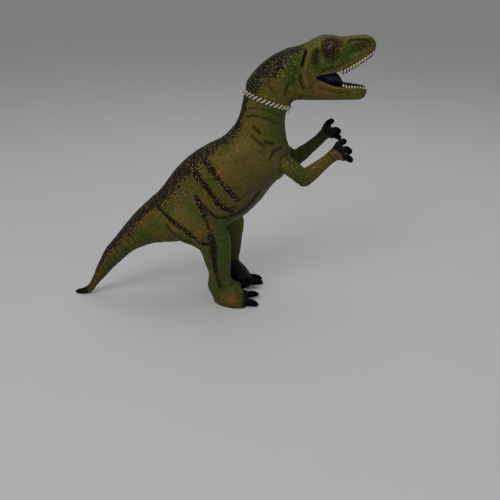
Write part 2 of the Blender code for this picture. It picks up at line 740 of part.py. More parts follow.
def eye_centre(side):
    place, outward = on_skull(EYE_SHARE, side)
    return place + outward * (EYE_STAND - EYE_DIAMETER / 2)


def swelling(name, centre, outward, sizes, slope, collection, segments=16, rings=10):
    """A ball drawn out to three half sizes: along a line that slopes up to the front, outwards and across."""
    along = np.array([cos(slope), 0.0, sin(slope)])
    along = unit(along - outward * np.dot(along, outward))
    across = np.cross(along, outward)
    turn = Matrix([[along[row], outward[row], across[row]] for row in range(3)])
    shape = bmesh.new()
    bmesh.ops.create_uvsphere(shape, u_segments=segments, v_segments=rings, radius=1.0)
    bmesh.ops.rotate(shape, verts=shape.verts, matrix=Matrix.Rotation(pi / 2, 3, 'X'))
    bmesh.ops.scale(shape, verts=shape.verts, vec=Vector(sizes))
    bmesh.ops.rotate(shape, verts=shape.verts, matrix=turn)
    bmesh.ops.recalc_face_normals(shape, faces=shape.faces)
    bmesh.ops.translate(shape, verts=shape.verts, vec=Vector(centre))
    mesh = bpy.data.meshes.new(name)
    shape.to_mesh(mesh)
    shape.free()
    thing = bpy.data.objects.new(name, mesh)
    collection.objects.link(thing)
    return thing


def ball(name, centre, radius, collection, segments=14, rings=8):
    shape = bmesh.new()
    bmesh.ops.create_uvsphere(shape, u_segments=segments, v_segments=rings, radius=radius)
    bmesh.ops.rotate(shape, verts=shape.verts, matrix=Matrix.Rotation(pi / 2, 3, 'X'))
    bmesh.ops.translate(shape, verts=shape.verts, vec=Vector(centre))
    mesh = bpy.data.meshes.new(name)
    shape.to_mesh(mesh)
    shape.free()
    thing = bpy.data.objects.new(name, mesh)
    collection.objects.link(thing)
    return thing


def eyelid(side, collection):
    """A low round swelling about the eye, which the eye's socket then opens."""
    place, outward = on_skull(EYE_SHARE, side)
    sizes = (LID_DIAMETER / 2, LID_RISE * 2, LID_DIAMETER / 2)
    return swelling("lid", place - outward * LID_RISE, outward, sizes, 0.0, collection)


def muzzle_dent(side, collection):
    """The long shallow hollow in the side of the muzzle, in front of the eye."""
    place, outward = on_skull(MUZZLE_DENT_SHARE, side)
    deep = MUZZLE_DENT_DEPTH / (1 - DENT_STAND_SHARE)
    spread = (1 - DENT_STAND_SHARE**2) ** 0.5
    sizes = (MUZZLE_DENT_LENGTH / 2 / spread, deep, MUZZLE_DENT_HEIGHT / 2 / spread)
    return swelling("dent", place + outward * deep * DENT_STAND_SHARE, outward, sizes, MUZZLE_DENT_SLOPE,
                    collection)


def lip_path(upper, count):
    """The gum line of one jaw, from the right corner of the mouth round the front to the left one."""
    if upper:
        stations = smooth_rows(real_stations(SKULL_SHARES, HEAD_WIDTH)[7:], 60)
        edge = np.column_stack([stations[:, 2], stations[:, 4] - MOUTH_LIP * GUM_INSET_SHARE, stations[:, 3]])
        power = 4.2
    else:
        stations = smooth_rows(real_stations(JAW_SHARES, JAW_WIDTH)[5:], 60)
        edge = np.column_stack([stations[:, 0], stations[:, 4] - MOUTH_LIP * GUM_INSET_SHARE, stations[:, 1]])
        power = 4.0
    start = TOOTH_ROW_SHARES[0 if upper else 1] * LENGTH
    tall = np.hypot(stations[:, 0] - stations[:, 2], stations[:, 1] - stations[:, 3]) / 2
    ratio = np.clip(edge[:, 1] / stations[:, 4], 0.0, 1.0)
    rise = tall * (1 - (1 - ratio**power) ** (1 / power))
    rise += GUM_DIAMETER * GUM_SINK_SHARE
    edge[:, 2] += rise if upper else -rise
    front = edge[-1, 0] - MOUTH_LIP * GUM_INSET_SHARE
    edge = edge[(edge[:, 0] > start) & (edge[:, 0] < front) & (edge[:, 1] > MOUTH_LIP / 2)]
    walked = np.linalg.norm(edge - edge[0], axis=1)
    edge[:, 1] -= MOUTH_LIP * GUM_TUCK_SHARE * np.exp(-walked / TOOTH_PITCH)
    right = edge * np.array([1, -1, 1])
    left = edge[::-1]
    path = smooth_rows(np.concatenate([right, left]), count)
    for turn in range(3):
        path[1:-1] = (path[:-2] + path[1:-1] * 2 + path[2:]) / 4
    return path


def teeth(name, upper, parts, spread=0.0):
    """A gum strip set in the jaw's edge with a row of pointed teeth. Spread makes its seat instead."""
    path = longer_ends(lip_path(upper, 22), spread * 2)
    radius = GUM_DIAMETER / 2 + spread
    down = np.array([0.0, 0.0, -1.0 if upper else 1.0])
    if spread:
        rings = sweep_rings(path, [radius] * len(path), [radius] * len(path), 6)
        rings = [ring + down * (TOOTH_LENGTH + GAP) * (((ring - place) @ down) > GAP / 2)[:, None]
                 for ring, place in zip(rings, path)]
        return loft(name, rings, parts)
    walked = np.concatenate(([0.0], np.cumsum(np.linalg.norm(np.diff(path, axis=0), axis=1))))
    count = int(walked[-1] / TOOTH_PITCH)
    reaches = np.linspace(0.0, walked[-1], count * 2 + 1)
    path = np.column_stack([np.interp(reaches, walked, path[:, axis]) for axis in range(3)])
    rings = sweep_rings(path, [radius] * len(path), [radius] * len(path), 4)
    length = TOOTH_LENGTH * (1.0 if upper else LOWER_TOOTH_SHARE)
    for ring in rings[1::2]:
        ring[np.argmax(ring @ down)] += down * length
    return loft(name, rings, parts)


def tongue(name, collection, spread=0.0):
    """A thick tongue that lies on the mouth's floor and tapers to the front."""
    table = np.asarray(TONGUE_SHARES, float)
    path = np.column_stack([table[:, 0] * LENGTH, np.zeros(len(table)), table[:, 1] * HEIGHT])
    path = longer_ends(path, spread * 2)
    return loft(name, sweep_rings(path, table[:, 2] * TONGUE_THICKNESS + spread,
                                  table[:, 3] * TONGUE_WIDTH + spread, 12), collection)


def make_head(parts, cutters):
    head = loft("head_skin", skull_rings(), parts)
    combine(head, loft("jaw", jaw_rings(), cutters), 'UNION')
    combine(head, mouth_hollow("mouth", cutters), 'DIFFERENCE')
    combine(head, head_cavity("cavity", cutters), 'DIFFERENCE')
    for side in (-1, 1):
        combine(head, muzzle_dent(side, cutters), 'DIFFERENCE')
        combine(head, eyelid(side, cutters), 'UNION')
        combine(head, ball("socket", eye_centre(side), EYE_DIAMETER / 2 + GAP, cutters), 'DIFFERENCE')
    for upper in (True, False):
        combine(head, teeth("gum", upper, cutters, spread=GAP), 'DIFFERENCE')
    combine(head, tongue("bed", cutters, spread=GAP), 'DIFFERENCE')
    combine(head, needle_holes(1, cutters), 'DIFFERENCE')
    return head


# Filling
def make_filling(parts, cutters):
    """The fibre that fills the body and the neck, with a waist where the thread runs inside the seam."""
    waist = THREAD_DIAMETER + GAP * 2
    rows = body_stations()
    rows = rows[rows[:, 0] > TAIL_CAVITY_END_SHARE * LENGTH][::-1]
    rows[:, 4] -= GAP
    head_rows = real_stations(SKULL_SHARES, HEAD_WIDTH)
    head_rows = head_rows[head_rows[:, 0] < HEAD_CAVITY_END_SHARE * LENGTH]
    whole = np.concatenate([rows, [seam_ring(0.0, 0.0)], head_rows])
    stations = smooth_rows(whole, 30)[1:-1]
    middle, normal, forward, reach, wide = seam_frame()
    rings = []
    for station in stations:
        centre = np.array([(station[0] + station[2]) / 2, 0.0, (station[1] + station[3]) / 2])
        near = abs(np.dot(centre - middle, normal)) < STITCH_REACH * 5
        inset = WALL + GAP * 3 + (waist if near else 0.0)
        rings.append(section(station, 16, inset=inset))
    filling = loft("fibre_filling", rings, parts)
    for side in (-1, 1):
        combine(filling, leg_hollow("leg_fill", side, cutters, extra=GAP * 2), 'UNION')
    for side in (-1, 1):
        seat, axis = shoulder_frame(side)
        deep = WALL + GAP + ARM_FLANGE_THICKNESS + GAP * 2
        room = cylinder_between("room", seat - axis * deep, seat + axis * OVERRUN * 4,
                                ARM_ROOT_DIAMETER / 2 + WALL / 2 + GAP * 3, 16, cutters)
        combine(filling, room, 'DIFFERENCE')
    return filling


# Arms
def arm_points(side):
    """Joints of the arm's middle line, from the end of its straight root to the end of the palm."""
    seat, axis = shoulder_frame(side)
    out = seat + axis * ARM_ROOT_DIAMETER * ARM_ROOT_SHARE
    mirror = np.array([1.0, side, 1.0])
    elbow = seat + np.array(UPPER_ARM_SHARES) * mirror * UPPER_ARM_REACH
    wrist = elbow + np.array(FOREARM_SHARES) * mirror * FOREARM_REACH
    palm = wrist + np.array(HAND_SHARES) * mirror * PALM_LENGTH
    return out, elbow, wrist, palm


def rounded_end(centre, direction, radii, up, sides):
    """Rings that close a limb with a half ball."""
    rings = []
    for lean in (25, 50, 72):
        place = centre + direction * radii.mean() * sin(radians(lean))
        rings += sweep_rings([place, place + direction], [radii[0] * cos(radians(lean))] * 2,
                             [radii[1] * cos(radians(lean))] * 2, sides, up=up)[:1]
    return rings


def make_arm(name, side, parts, cutters):
    out, elbow, wrist, palm = arm_points(side)
    seat, axis = shoulder_frame(side)
    thick = ARM_ROOT_DIAMETER / 2
    thin = FOREARM_DIAMETER / 2
    up = np.array([-0.35, 0.0, 1.0])
    rise = unit(up - axis * np.dot(up, axis))
    across = np.cross(axis, rise)
    turn = np.arange(LIMB_SIDES) * 2 * pi / LIMB_SIDES
    disc = thick * (np.cos(turn)[:, None] * rise + np.sin(turn)[:, None] * across)
    rings = [seat + axis * GAP + disc, out + disc]
    joint = np.array(ELBOW_SHARES) * thick
    path = np.array([out, (out + elbow) / 2, elbow])
    tall, wide = [thick, thick, joint[0]], [thick, (thick + joint[1]) / 2, joint[1]]
    rings += sweep_rings(path, tall, wide, LIMB_SIDES, up=up)[1:]
    rings += rounded_end(elbow, unit(elbow - out), joint, up, LIMB_SIDES)
    arm = loft(name, rings, parts)
    along = unit(wrist - elbow)
    rings = rounded_end(elbow, -along, joint, up, LIMB_SIDES)[::-1]
    rings = [np.roll(ring[::-1], 1, axis=0) for ring in rings]
    path = [elbow] + [elbow + (wrist - elbow) * row[0] for row in FOREARM_GIRTH_SHARES]
    path += [wrist + (palm - wrist) * row[0] for row in PALM_GIRTH_SHARES]
    girths = FOREARM_GIRTH_SHARES + PALM_GIRTH_SHARES
    tall = [joint[0]] + [row[1] * thin for row in girths]
    wide = [joint[1]] + [row[2] * thin for row in girths]
    rings += sweep_rings(path, tall, wide, LIMB_SIDES, up=up)
    combine(arm, loft("forearm", rings, cutters), 'UNION')
    stem = cylinder_between("stem", seat - axis * (WALL + GAP + ARM_FLANGE_THICKNESS / 2),
                            seat + axis * ARM_SEAT_DEPTH, ARM_PLUG_DIAMETER / 2, 16, cutters)
    combine(arm, stem, 'UNION')
    flange = cylinder_between("flange", seat - axis * (WALL + GAP + ARM_FLANGE_THICKNESS),
                              seat - axis * (WALL + GAP), ARM_FLANGE_DIAMETER / 2, 20, cutters)
    combine(arm, flange, 'UNION')
    hand = unit(palm - wrist)
    lift = np.array([-hand[2], 0.0, hand[0]])
    outward = np.array([0.0, side, 0.0])
    for along, rise, out, first, second in FINGER_SHARES:
        start = palm + (hand * along + lift * rise + outward * out) * FINGER_DIAMETER
        knuckle = start + (hand * cos(first) + lift * sin(first)) * FINGER_LENGTH * 0.5
        tip = knuckle + (hand * cos(second) + lift * sin(second)) * FINGER_LENGTH * 0.5
        inside = start - (knuckle - start) * 0.5
        rows = smooth_rows(np.column_stack([[inside, start, knuckle, (knuckle + tip) / 2, tip],
                                            np.array([0.50, 0.53, 0.54, 0.50, 0.22]) * FINGER_DIAMETER]), 8)
        rings = sweep_rings(rows[:, :3], rows[:, 3], rows[:, 3], 8, up=outward)
        combine(arm, loft("finger", rings, cutters), 'UNION')
    turn_arm = LEFT_ARM_RAISE if side > 0 else 0.0
    pivot = Vector(seat)
    spin = Matrix.Rotation(-turn_arm * side, 4, Vector(axis))
    arm.data.transform(Matrix.Translation(-pivot))
    arm.data.transform(spin)
    arm.location = pivot
    return arm


def main():
    for thing in list(bpy.data.objects):
        bpy.data.objects.remove(thing)
    parts = make_collection("toy_dinosaur_figure")
    cutters = make_collection("cutters", hidden=True)
    skin = make_material("olive_vinyl", (0.20, 0.21, 0.05), 0.42)
    head_skin = make_material("head_vinyl", (0.24, 0.25, 0.07), 0.42)
    thread = make_material("cream_thread", (0.62, 0.57, 0.47), 0.75)
    fibre = make_material("white_fibre", (0.80, 0.80, 0.78), 0.95)
    eye = make_material("dark_red_eye", (0.10, 0.015, 0.012), 0.08, coat=1.0)
    tooth = make_material("cream_teeth", (0.60, 0.52, 0.36), 0.35)
    violet = make_material("violet_tongue", (0.05, 0.03, 0.13), 0.35)
    finish(make_body(parts, cutters), skin)
    finish(make_head(parts, cutters), head_skin)
    finish(thread_loop("neck_stitching", parts), thread)
    finish(make_filling(parts, cutters), fibre)
    finish(make_arm("right_arm", -1, parts, cutters), skin)
    finish(make_arm("left_arm", 1, parts, cutters), skin)
    for name, side in (("right_eye", -1), ("left_eye", 1)):
        finish(ball(name, eye_centre(side), EYE_DIAMETER / 2, parts), eye)
    finish(teeth("upper_teeth", True, parts), tooth)
    finish(teeth("lower_teeth", False, parts), tooth)
    finish(tongue("tongue", parts), violet)


main()
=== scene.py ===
"""Looks of the toy dinosaur figure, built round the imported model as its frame."""
from math import cos, pi, radians, sin, tan

import bpy
import numpy as np
from mathutils import Matrix, Vector


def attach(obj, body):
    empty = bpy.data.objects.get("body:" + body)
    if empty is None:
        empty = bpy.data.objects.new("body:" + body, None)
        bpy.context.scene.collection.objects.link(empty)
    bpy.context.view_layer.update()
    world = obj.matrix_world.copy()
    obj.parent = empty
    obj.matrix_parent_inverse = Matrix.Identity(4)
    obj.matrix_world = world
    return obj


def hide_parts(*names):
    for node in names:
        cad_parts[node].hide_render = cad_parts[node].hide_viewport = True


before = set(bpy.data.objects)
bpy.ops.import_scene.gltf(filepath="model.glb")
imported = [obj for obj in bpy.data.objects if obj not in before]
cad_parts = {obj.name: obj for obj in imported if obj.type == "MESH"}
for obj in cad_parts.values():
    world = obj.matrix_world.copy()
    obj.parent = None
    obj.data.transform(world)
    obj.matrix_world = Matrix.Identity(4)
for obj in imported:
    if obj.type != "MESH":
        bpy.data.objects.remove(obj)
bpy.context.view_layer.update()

bl_info = {
    "name": "Toy dinosaur figure",
    "version": (1, 0, 0),
    "blender": (4, 5, 0),
    "location": "View3D > Sidebar > Dinosaur",
    "description": "Builds the painted soft-vinyl skins, stitching, eyes and teeth of a stuffed toy dinosaur",
    "category": "Add Mesh",
}

MM = 0.001

# Overall sizes and castings
LENGTH = 0.298
HEIGHT = 0.260
TORSO_WIDTH = 0.062
NECK_WIDTH = 0.037
HEAD_WIDTH = 0.036
JAW_WIDTH = 0.0305
TAIL_WIDTH = 0.038
WALL = 0.0024
GAP = 0.0003
MOUTH_LIP = 0.0032

# Neck seam
SEAM_GROOVE_DEPTH = 0.0009
SEAM_GROOVE_WIDTH = 0.0044
STITCH_COUNT = 32
STITCH_REACH = 0.0014
THREAD_DIAMETER = 0.0012

# Legs and feet
HIP_SPREAD = 0.040
LEG_WIDTH = 0.031
STRIDE = 0.009
TOE_LENGTH = 0.016
TOE_WIDTH = 0.0104
TOE_HEIGHT = 0.0088
CLAW_LENGTH = 0.0145
CLAW_THICKNESS = 0.0072
INNER_CLAW_RAISE = 0.0115
ANKLE_HEIGHT = 0.030
FOOT_SPLAY = radians(14)

# Arms
SHOULDER_SPREAD = 0.0325
ARM_ROOT_DIAMETER = 0.0170
ARM_SEAT_DEPTH = 0.0016
ARM_PLUG_DIAMETER = 0.0080
ARM_FLANGE_DIAMETER = 0.0125
ARM_FLANGE_THICKNESS = 0.0016
ARM_ROOT_SHARE = 0.26
UPPER_ARM_REACH = 0.0245
FOREARM_REACH = 0.0335
FOREARM_DIAMETER = 0.0112
PALM_LENGTH = 0.0080
FINGER_LENGTH = 0.0115
FINGER_DIAMETER = 0.0058
SHOULDER_TILT = radians(48)
LEFT_ARM_RAISE = radians(6)

# Head fittings
EYE_DIAMETER = 0.0094
EYE_STAND = 0.0025
MUZZLE_DENT_LENGTH = 0.0230
MUZZLE_DENT_HEIGHT = 0.0100
MUZZLE_DENT_DEPTH = 0.0019
TOOTH_LENGTH = 0.0030
TOOTH_PITCH = 0.0028
GUM_DIAMETER = 0.0014
TONGUE_WIDTH = 0.0125
TONGUE_THICKNESS = 0.0074

# Stations: back x, back z, belly x, belly z as shares of the length and height, and the half width
NECK_RING_SHARE = (0.116, 0.817, 0.253, 0.763, 0.500)
TORSO_SHARES = (
    (0.110, 0.790, 0.244, 0.744, 0.290),
    (0.105, 0.758, 0.241, 0.715, 0.292),
    (0.095, 0.721, 0.243, 0.681, 0.305),
    (0.075, 0.688, 0.249, 0.646, 0.340),
    (0.041, 0.652, 0.259, 0.610, 0.403),
    (-0.002, 0.627, 0.261, 0.571, 0.452),
    (-0.049, 0.596, 0.239, 0.525, 0.476),
    (-0.093, 0.554, 0.206, 0.481, 0.492),
    (-0.132, 0.502, 0.164, 0.417, 0.500),
    (-0.166, 0.452, 0.118, 0.365, 0.500),
    (-0.199, 0.418, 0.058, 0.325, 0.484),
    (-0.229, 0.388, -0.019, 0.282, 0.452),
)
TAIL_SHARES = (
    (-0.256, 0.358, -0.103, 0.256, 0.645),
    (-0.281, 0.327, -0.177, 0.248, 0.526),
    (-0.308, 0.290, -0.231, 0.226, 0.434),
    (-0.338, 0.249, -0.275, 0.199, 0.355),
    (-0.363, 0.215, -0.309, 0.165, 0.295),
    (-0.385, 0.177, -0.343, 0.129, 0.245),
    (-0.408, 0.127, -0.375, 0.090, 0.197),
    (-0.432, 0.071, -0.410, 0.047, 0.148),
    (-0.455, 0.033, -0.442, 0.008, 0.116),
    (-0.476, 0.022, -0.470, 0.000, 0.090),
    (-0.492, 0.018, -0.492, 0.002, 0.060),
    (-0.500, 0.012, -0.500, 0.008, 0.020),
)
SKULL_SHARES = (
    (0.120, 0.842, 0.262, 0.783, 0.508),
    (0.146, 0.885, 0.281, 0.788, 0.506),
    (0.191, 0.929, 0.303, 0.789, 0.500),
    (0.239, 0.956, 0.316, 0.794, 0.486),
    (0.285, 0.969, 0.322, 0.825, 0.467),
    (0.322, 0.990, 0.338, 0.857, 0.444),
    (0.350, 1.000, 0.358, 0.866, 0.417),
    (0.375, 0.998, 0.380, 0.871, 0.375),
    (0.402, 0.994, 0.402, 0.877, 0.333),
    (0.432, 0.998, 0.428, 0.893, 0.300),
    (0.460, 1.000, 0.455, 0.914, 0.267),
    (0.482, 0.996, 0.480, 0.934, 0.222),
    (0.495, 0.985, 0.495, 0.948, 0.153),
    (0.500, 0.972, 0.500, 0.957, 0.070),
)
JAW_SHARES = (
    (0.256, 0.890, 0.262, 0.805, 0.330),
    (0.280, 0.890, 0.284, 0.791, 0.450),
    (0.306, 0.881, 0.309, 0.788, 0.505),
    (0.330, 0.873, 0.330, 0.788, 0.500),
    (0.361, 0.867, 0.361, 0.788, 0.459),
    (0.391, 0.855, 0.391, 0.788, 0.403),
    (0.420, 0.844, 0.420, 0.788, 0.354),
    (0.450, 0.839, 0.450, 0.788, 0.305),
    (0.472, 0.835, 0.468, 0.790, 0.243),
    (0.482, 0.829, 0.478, 0.796, 0.157),
    (0.485, 0.817, 0.483, 0.805, 0.072),
)
MOUTH_SHARES = (
    (0.312, 0.873, 0.312, 0.856, 0.36),
    (0.330, 0.884, 0.330, 0.850, 0.46),
    (0.360, 0.893, 0.360, 0.847, 0.45),
    (0.391, 0.900, 0.391, 0.838, 0.40),
    (0.420, 0.909, 0.420, 0.824, 0.35),
    (0.450, 0.930, 0.450, 0.810, 0.30),
    (0.470, 0.945, 0.468, 0.812, 0.24),
    (0.484, 0.951, 0.476, 0.836, 0.17),
)
# Leg: front x, front z, rear x, rear z, half width, share of the hip's spread, share of the stride
LEG_SHARES = (
    (-0.008, 0.500, -0.100, 0.472, 0.220, 0.310, 0.30),
    (0.010, 0.434, -0.145, 0.392, 0.430, 0.465, 0.60),
    (0.025, 0.373, -0.141, 0.327, 0.500, 0.525, 1.20),
    (0.047, 0.338, -0.104, 0.288, 0.484, 0.537, 1.60),
    (0.065, 0.300, -0.064, 0.265, 0.435, 0.512, 1.50),
    (0.069, 0.262, -0.038, 0.244, 0.387, 0.500, 1.35),
    (0.068, 0.228, -0.029, 0.219, 0.355, 0.500, 1.20),
    (0.068, 0.181, -0.020, 0.177, 0.316, 0.487, 1.05),
    (0.065, 0.137, -0.010, 0.135, 0.290, 0.475, 0.95),
    (0.064, 0.115, -0.012, 0.108, 0.297, 0.475, 0.95),
    (0.091, 0.079, -0.015, 0.081, 0.345, 0.470, 0.80),
    (0.109, 0.050, -0.008, 0.046, 0.392, 0.465, 0.65),
    (0.121, 0.019, 0.001, 0.019, 0.408, 0.460, 0.55),
    (0.121, 0.000, 0.003, 0.000, 0.390, 0.460, 0.55),
)
# Claw: place along the length and across the hip, heights of root and tip over its thickness, turn outwards
CLAW_PLACE_SHARES = (
    (0.112, 0.655, 0.66, 0.30, radians(4)),
    (0.115, 0.350, 0.74, 0.80, radians(-7)),
    (0.090, 0.150, 0.54, 0.66, radians(-12)),
)
# Arm: directions of its three bones, its elbow, then girths as a place along the bone and two half sizes
UPPER_ARM_SHARES = (0.80, 0.59, -0.42)
FOREARM_SHARES = (0.765, 0.03, 0.690)
HAND_SHARES = (0.80, -0.05, 0.60)
ELBOW_SHARES = (0.88, 0.86)
FOREARM_GIRTH_SHARES = (
    (0.22, 1.30, 1.20),
    (0.45, 1.12, 1.08),
    (0.70, 1.00, 0.98),
    (0.90, 0.98, 0.96),
    (1.00, 1.00, 1.00),
)
PALM_GIRTH_SHARES = ((0.55, 1.10, 1.06), (1.00, 0.92, 0.90), (1.20, 0.60, 0.62))
# Finger: its root along, above and outside the palm's end over its diameter, then the slants of its halves
FINGER_SHARES = (
    (-0.60, 0.75, 0.25, radians(16), radians(-12)),
    (-0.35, -0.20, -0.35, radians(-26), radians(-72)),
    (-0.75, -0.95, 0.30, radians(-42), radians(-74)),
)
FINGER_GIRTH = (0.50, 0.53, 0.54, 0.50, 0.22)
# Girths along a piece: shares of its length and the size there
FINGER_CLAW_GIRTH = ((0, 0.08, 0.35, 0.62, 0.82, 0.93, 0.98, 1.0), (0.84, 1.04, 1.10, 1.06, 0.88, 0.62, 0.34, 0.08))
TOE_CLAW_GIRTH = ((0, 0.05, 0.18, 0.45, 0.70, 0.86, 0.95, 0.99, 1.0),
                  (0.76, 0.94, 1.02, 1.0, 0.88, 0.68, 0.44, 0.22, 0.05))
TOE_GIRTH = ((0.0, 0.3, 0.62, 0.82, 0.95, 1.0), (0.45, 0.86, 1.04, 1.0, 0.84, 0.55))
SHOULDER_SHARE = (0.233, 0.577)
EYE_SHARE = (0.361, 0.959)
# Tongue: x and z as shares, then half height and half width over its thickness and width
TONGUE_SHARES = (
    (0.320, 0.860, 0.30, 0.34),
    (0.338, 0.864, 0.52, 0.46),
    (0.360, 0.861, 0.58, 0.50),
    (0.382, 0.852, 0.52, 0.46),
    (0.402, 0.842, 0.40, 0.34),
    (0.413, 0.836, 0.24, 0.18),
    (0.418, 0.834, 0.07, 0.05),
)
MUZZLE_DENT_SHARE = (0.455, 0.966)
MUZZLE_DENT_SLOPE = radians(17)
TOOTH_ROW_SHARES = (0.396, 0.404)
GUM_INSET_SHARE = 0.55
GUM_SINK_SHARE = 1.00
GUM_TUCK_SHARE = 0.25
# Upper and lower row: tooth length, tooth girth and spacing as shares, then the gum's drop and half height
TOOTH_STYLES = {True: (1.00, 0.33, 0.98, 0.0017, 0.0021), False: (0.62, 0.26, 0.90, 0.0006, 0.0012)}
TOOTH_STAND = 0.0007
TOOTH_LEAN = 0.16
MOUTH_MIDDLE = 0.118
# Arch of the tongue: its middle and width as shares of the length, its rise and its swell
TONGUE_ARCH = (0.378, 0.022, 0.005, 0.34)

# Thread: rings to a stitch, sides, length of a twist, and its loose end as steps outwards, up the neck and forward
STITCH_RINGS, THREAD_SIDES, TWIST_LENGTH = 26, 14, 0.0016
LOOSE_END = ((-0.0004, 0.0, 0.0), (0.0008, -0.0012, 0.0), (0.0012, -0.0036, 0.0004), (0.0006, -0.0060, 0.0014))

# Roundness of the sections, grids that blend each piece's tubes into one skin, and the sides of its tubes
OVAL = 2.2
BODY_GRID, BODY_GRID_QUICK = 0.00095, 0.0014
HEAD_GRID, ARM_GRID, FIBRE_GRID = 0.00055, 0.00042, 0.0016
BODY_SIDES, HEAD_SIDES = 96, 90

# Relief: layers of bumps as size in metres, height in millimetres and seed
BODY_BUMPS = ((0.0085, 0.26, 1), (0.0042, 0.14, 2))
HEAD_BUMPS = ((0.0060, 0.20, 21), (0.0028, 0.14, 22))
ARM_BUMPS = ((0.0050, 0.26, 31), (0.0026, 0.13, 32))
TAIL_RINGS = 46
COLLAR_HEIGHT, COLLAR_SLOPE, COLLAR_EASE = 0.0024, 0.85, 0.0012
LEFT_ELBOW_PULL, LEFT_ELBOW_WIDTH = (-0.0046, 0.0, 0.0008), 0.017

# Stage
CAMERA_PLACE, CAMERA_TILT = (0.0393, -0.50192, 0.302), radians(63.5)
SENSOR_WIDTH, FOCAL_LENGTH = 36.0, 38.95
FLOOR_HALF = 20.0
ROOM_COLOUR = (0.95, 0.95, 0.96, 1.0)
# Lights: place, aim, diameter, the strength that each follows and its share of it
LIGHTS = (
    ("key_light", (-0.45, -0.75, 1.05), (0.02, 0.0, 0.12), 0.70, "key", 1.0),
    ("top_light", (0.25, 0.25, 1.10), (0.0, 0.0, 0.10), 0.80, "key", 0.45),
    ("fill_light", (0.95, -0.70, 0.50), (0.0, 0.0, 0.12), 0.70, "fill", 1.0),
)


# Rows, sections and sweeps
def walk(path):
    """Length of each step of a path, and how far along it each of its points lies."""
    steps = np.maximum(np.linalg.norm(np.diff(path, axis=0), axis=1), 1e-9)
    return steps, np.concatenate(([0.0], np.cumsum(steps)))


def smooth_rows(rows, count):
    """Rows at equal steps along a cubic curve through the given rows, with slopes from their neighbours."""
    rows = np.asarray(rows, float)
    knots = walk(rows)[1]
    slopes = np.gradient(rows, knots, axis=0)
    wanted = np.linspace(0.0, knots[-1], count)
    index = np.clip(np.searchsorted(knots, wanted) - 1, 0, len(knots) - 2)
    width = (knots[index + 1] - knots[index])[:, None]
    t = (wanted - knots[index])[:, None] / width
    start, end = rows[index], rows[index + 1]
    leave, arrive = slopes[index] * width, slopes[index + 1] * width
    return (start * (2 * t**3 - 3 * t**2 + 1) + leave * (t**3 - 2 * t**2 + t)
            + end * (3 * t**2 - 2 * t**3) + arrive * (t**3 - t**2))


def real_stations(shares, width):
    """Stations in metres: places times length and height, half widths times the piece's width."""
    return np.asarray(shares, float)[:, :5] * np.array([LENGTH, HEIGHT, LENGTH, HEIGHT, width])


def unit(vectors):
    """Vectors divided by their length."""
    vectors = np.asarray(vectors, float)
    return vectors / np.maximum(np.linalg.norm(vectors, axis=-1, keepdims=True), 1e-12)


def turns(sides):
    """Even angles round a circle."""
    return np.arange(sides) * 2 * pi / sides


def squared(wave, power):
    """A cosine or sine made that of a super-ellipse: its sign times its size to the power 2/n."""
    return np.sign(wave) * np.abs(wave) ** (2 / power)


def ovals(stations, sides, inset=0.0, lean=0.0, upper=OVAL, lower=OVAL, middle_y=0.0):
    """Super-ellipses through each station's back and belly point: |a|^(2/n) along, |b|^(2/n) across."""
    stations = np.atleast_2d(stations)
    y, lean = (np.broadcast_to(np.asarray(value, float), (len(stations),)) for value in (middle_y, lean))
    back = np.stack([stations[:, 0], y, stations[:, 1]], axis=1)
    belly = np.stack([stations[:, 2], y, stations[:, 3]], axis=1)
    upright = (back - belly) / 2
    tall = np.linalg.norm(upright, axis=1)
    upright = upright / tall[:, None] * np.maximum(tall - inset, tall / 20)[:, None]
    wide = np.maximum(stations[:, 4] - inset, stations[:, 4] / 20)
    turn = turns(sides)
    power = np.where(np.cos(turn)[None] >= 0, np.reshape(upper, (-1, 1)), np.reshape(lower, (-1, 1)))
    along, across = squared(np.cos(turn), power), squared(np.sin(turn), power)
    points = (back + belly)[:, None] / 2 + along[..., None] * upright[:, None]
    points[..., 1] += across * wide[:, None] * (1 + lean[:, None] * along)
    return points


def ring_points(path, rise, across, tall, wide, sides):
    """Rings round a path: place + cos(a) rise tall + sin(a) across wide, for every place and angle at once."""
    turn = turns(sides)
    tall, wide = (np.reshape(size, (len(path), -1, 1)) for size in (tall, wide))
    return path[:, None] + (np.cos(turn)[None, :, None] * rise[:, None] * tall
                            + np.sin(turn)[None, :, None] * across[:, None] * wide)


def sweep(path, heights, widths, sides, up=(0.0, 0.0, 1.0)):
    """Ovals square to a path, as tall and wide as given for each of its places."""
    tangents = unit(np.gradient(path, axis=0))
    across = unit(np.cross(tangents, np.asarray(up, float)))
    return ring_points(path, np.cross(across, tangents), across, heights, widths, sides)


def capsule_rings(start, end, radii, ends, up, sides=40, count=26):
    """A limb between two points whose ends close in half balls; its two half sizes run between the ends'."""
    along = unit(end - start)
    lean = radians(90) * (1 - np.linspace(0.04, 1.0, 8))
    middle = np.linspace(0.0, 1.0, count)[1:-1]
    path = np.concatenate([start - along * np.mean(radii[0]) * ends[0] * np.sin(lean)[:, None],
                           start + (end - start) * middle[:, None],
                           end + along * np.mean(radii[1]) * ends[1] * np.sin(lean[::-1])[:, None]])
    shares = np.concatenate([np.zeros(8), middle, np.ones(8)])[:, None]
    close = np.concatenate([np.cos(lean), np.ones(count - 2), np.cos(lean[::-1])])[:, None]
    first, last = np.array(radii[0]), np.array(radii[1])
    sizes = (first + (last - first) * shares) * close
    across = unit(np.cross(along, up))[None]
    return ring_points(path, np.cross(across, along), across, sizes[:, 0], sizes[:, 1], sides)


def disc_rings(start, axis, marks, sides=64):
    """A turned piece along an axis: (distance along it, radius) for each ring."""
    axis = unit(axis)
    side = unit(np.cross(axis, (0.0, 0.0, 1.0)))
    place, radius = np.asarray(marks, float).T
    return ring_points(start + axis * place[:, None], np.cross(side, axis)[None], side[None], radius, radius, sides)


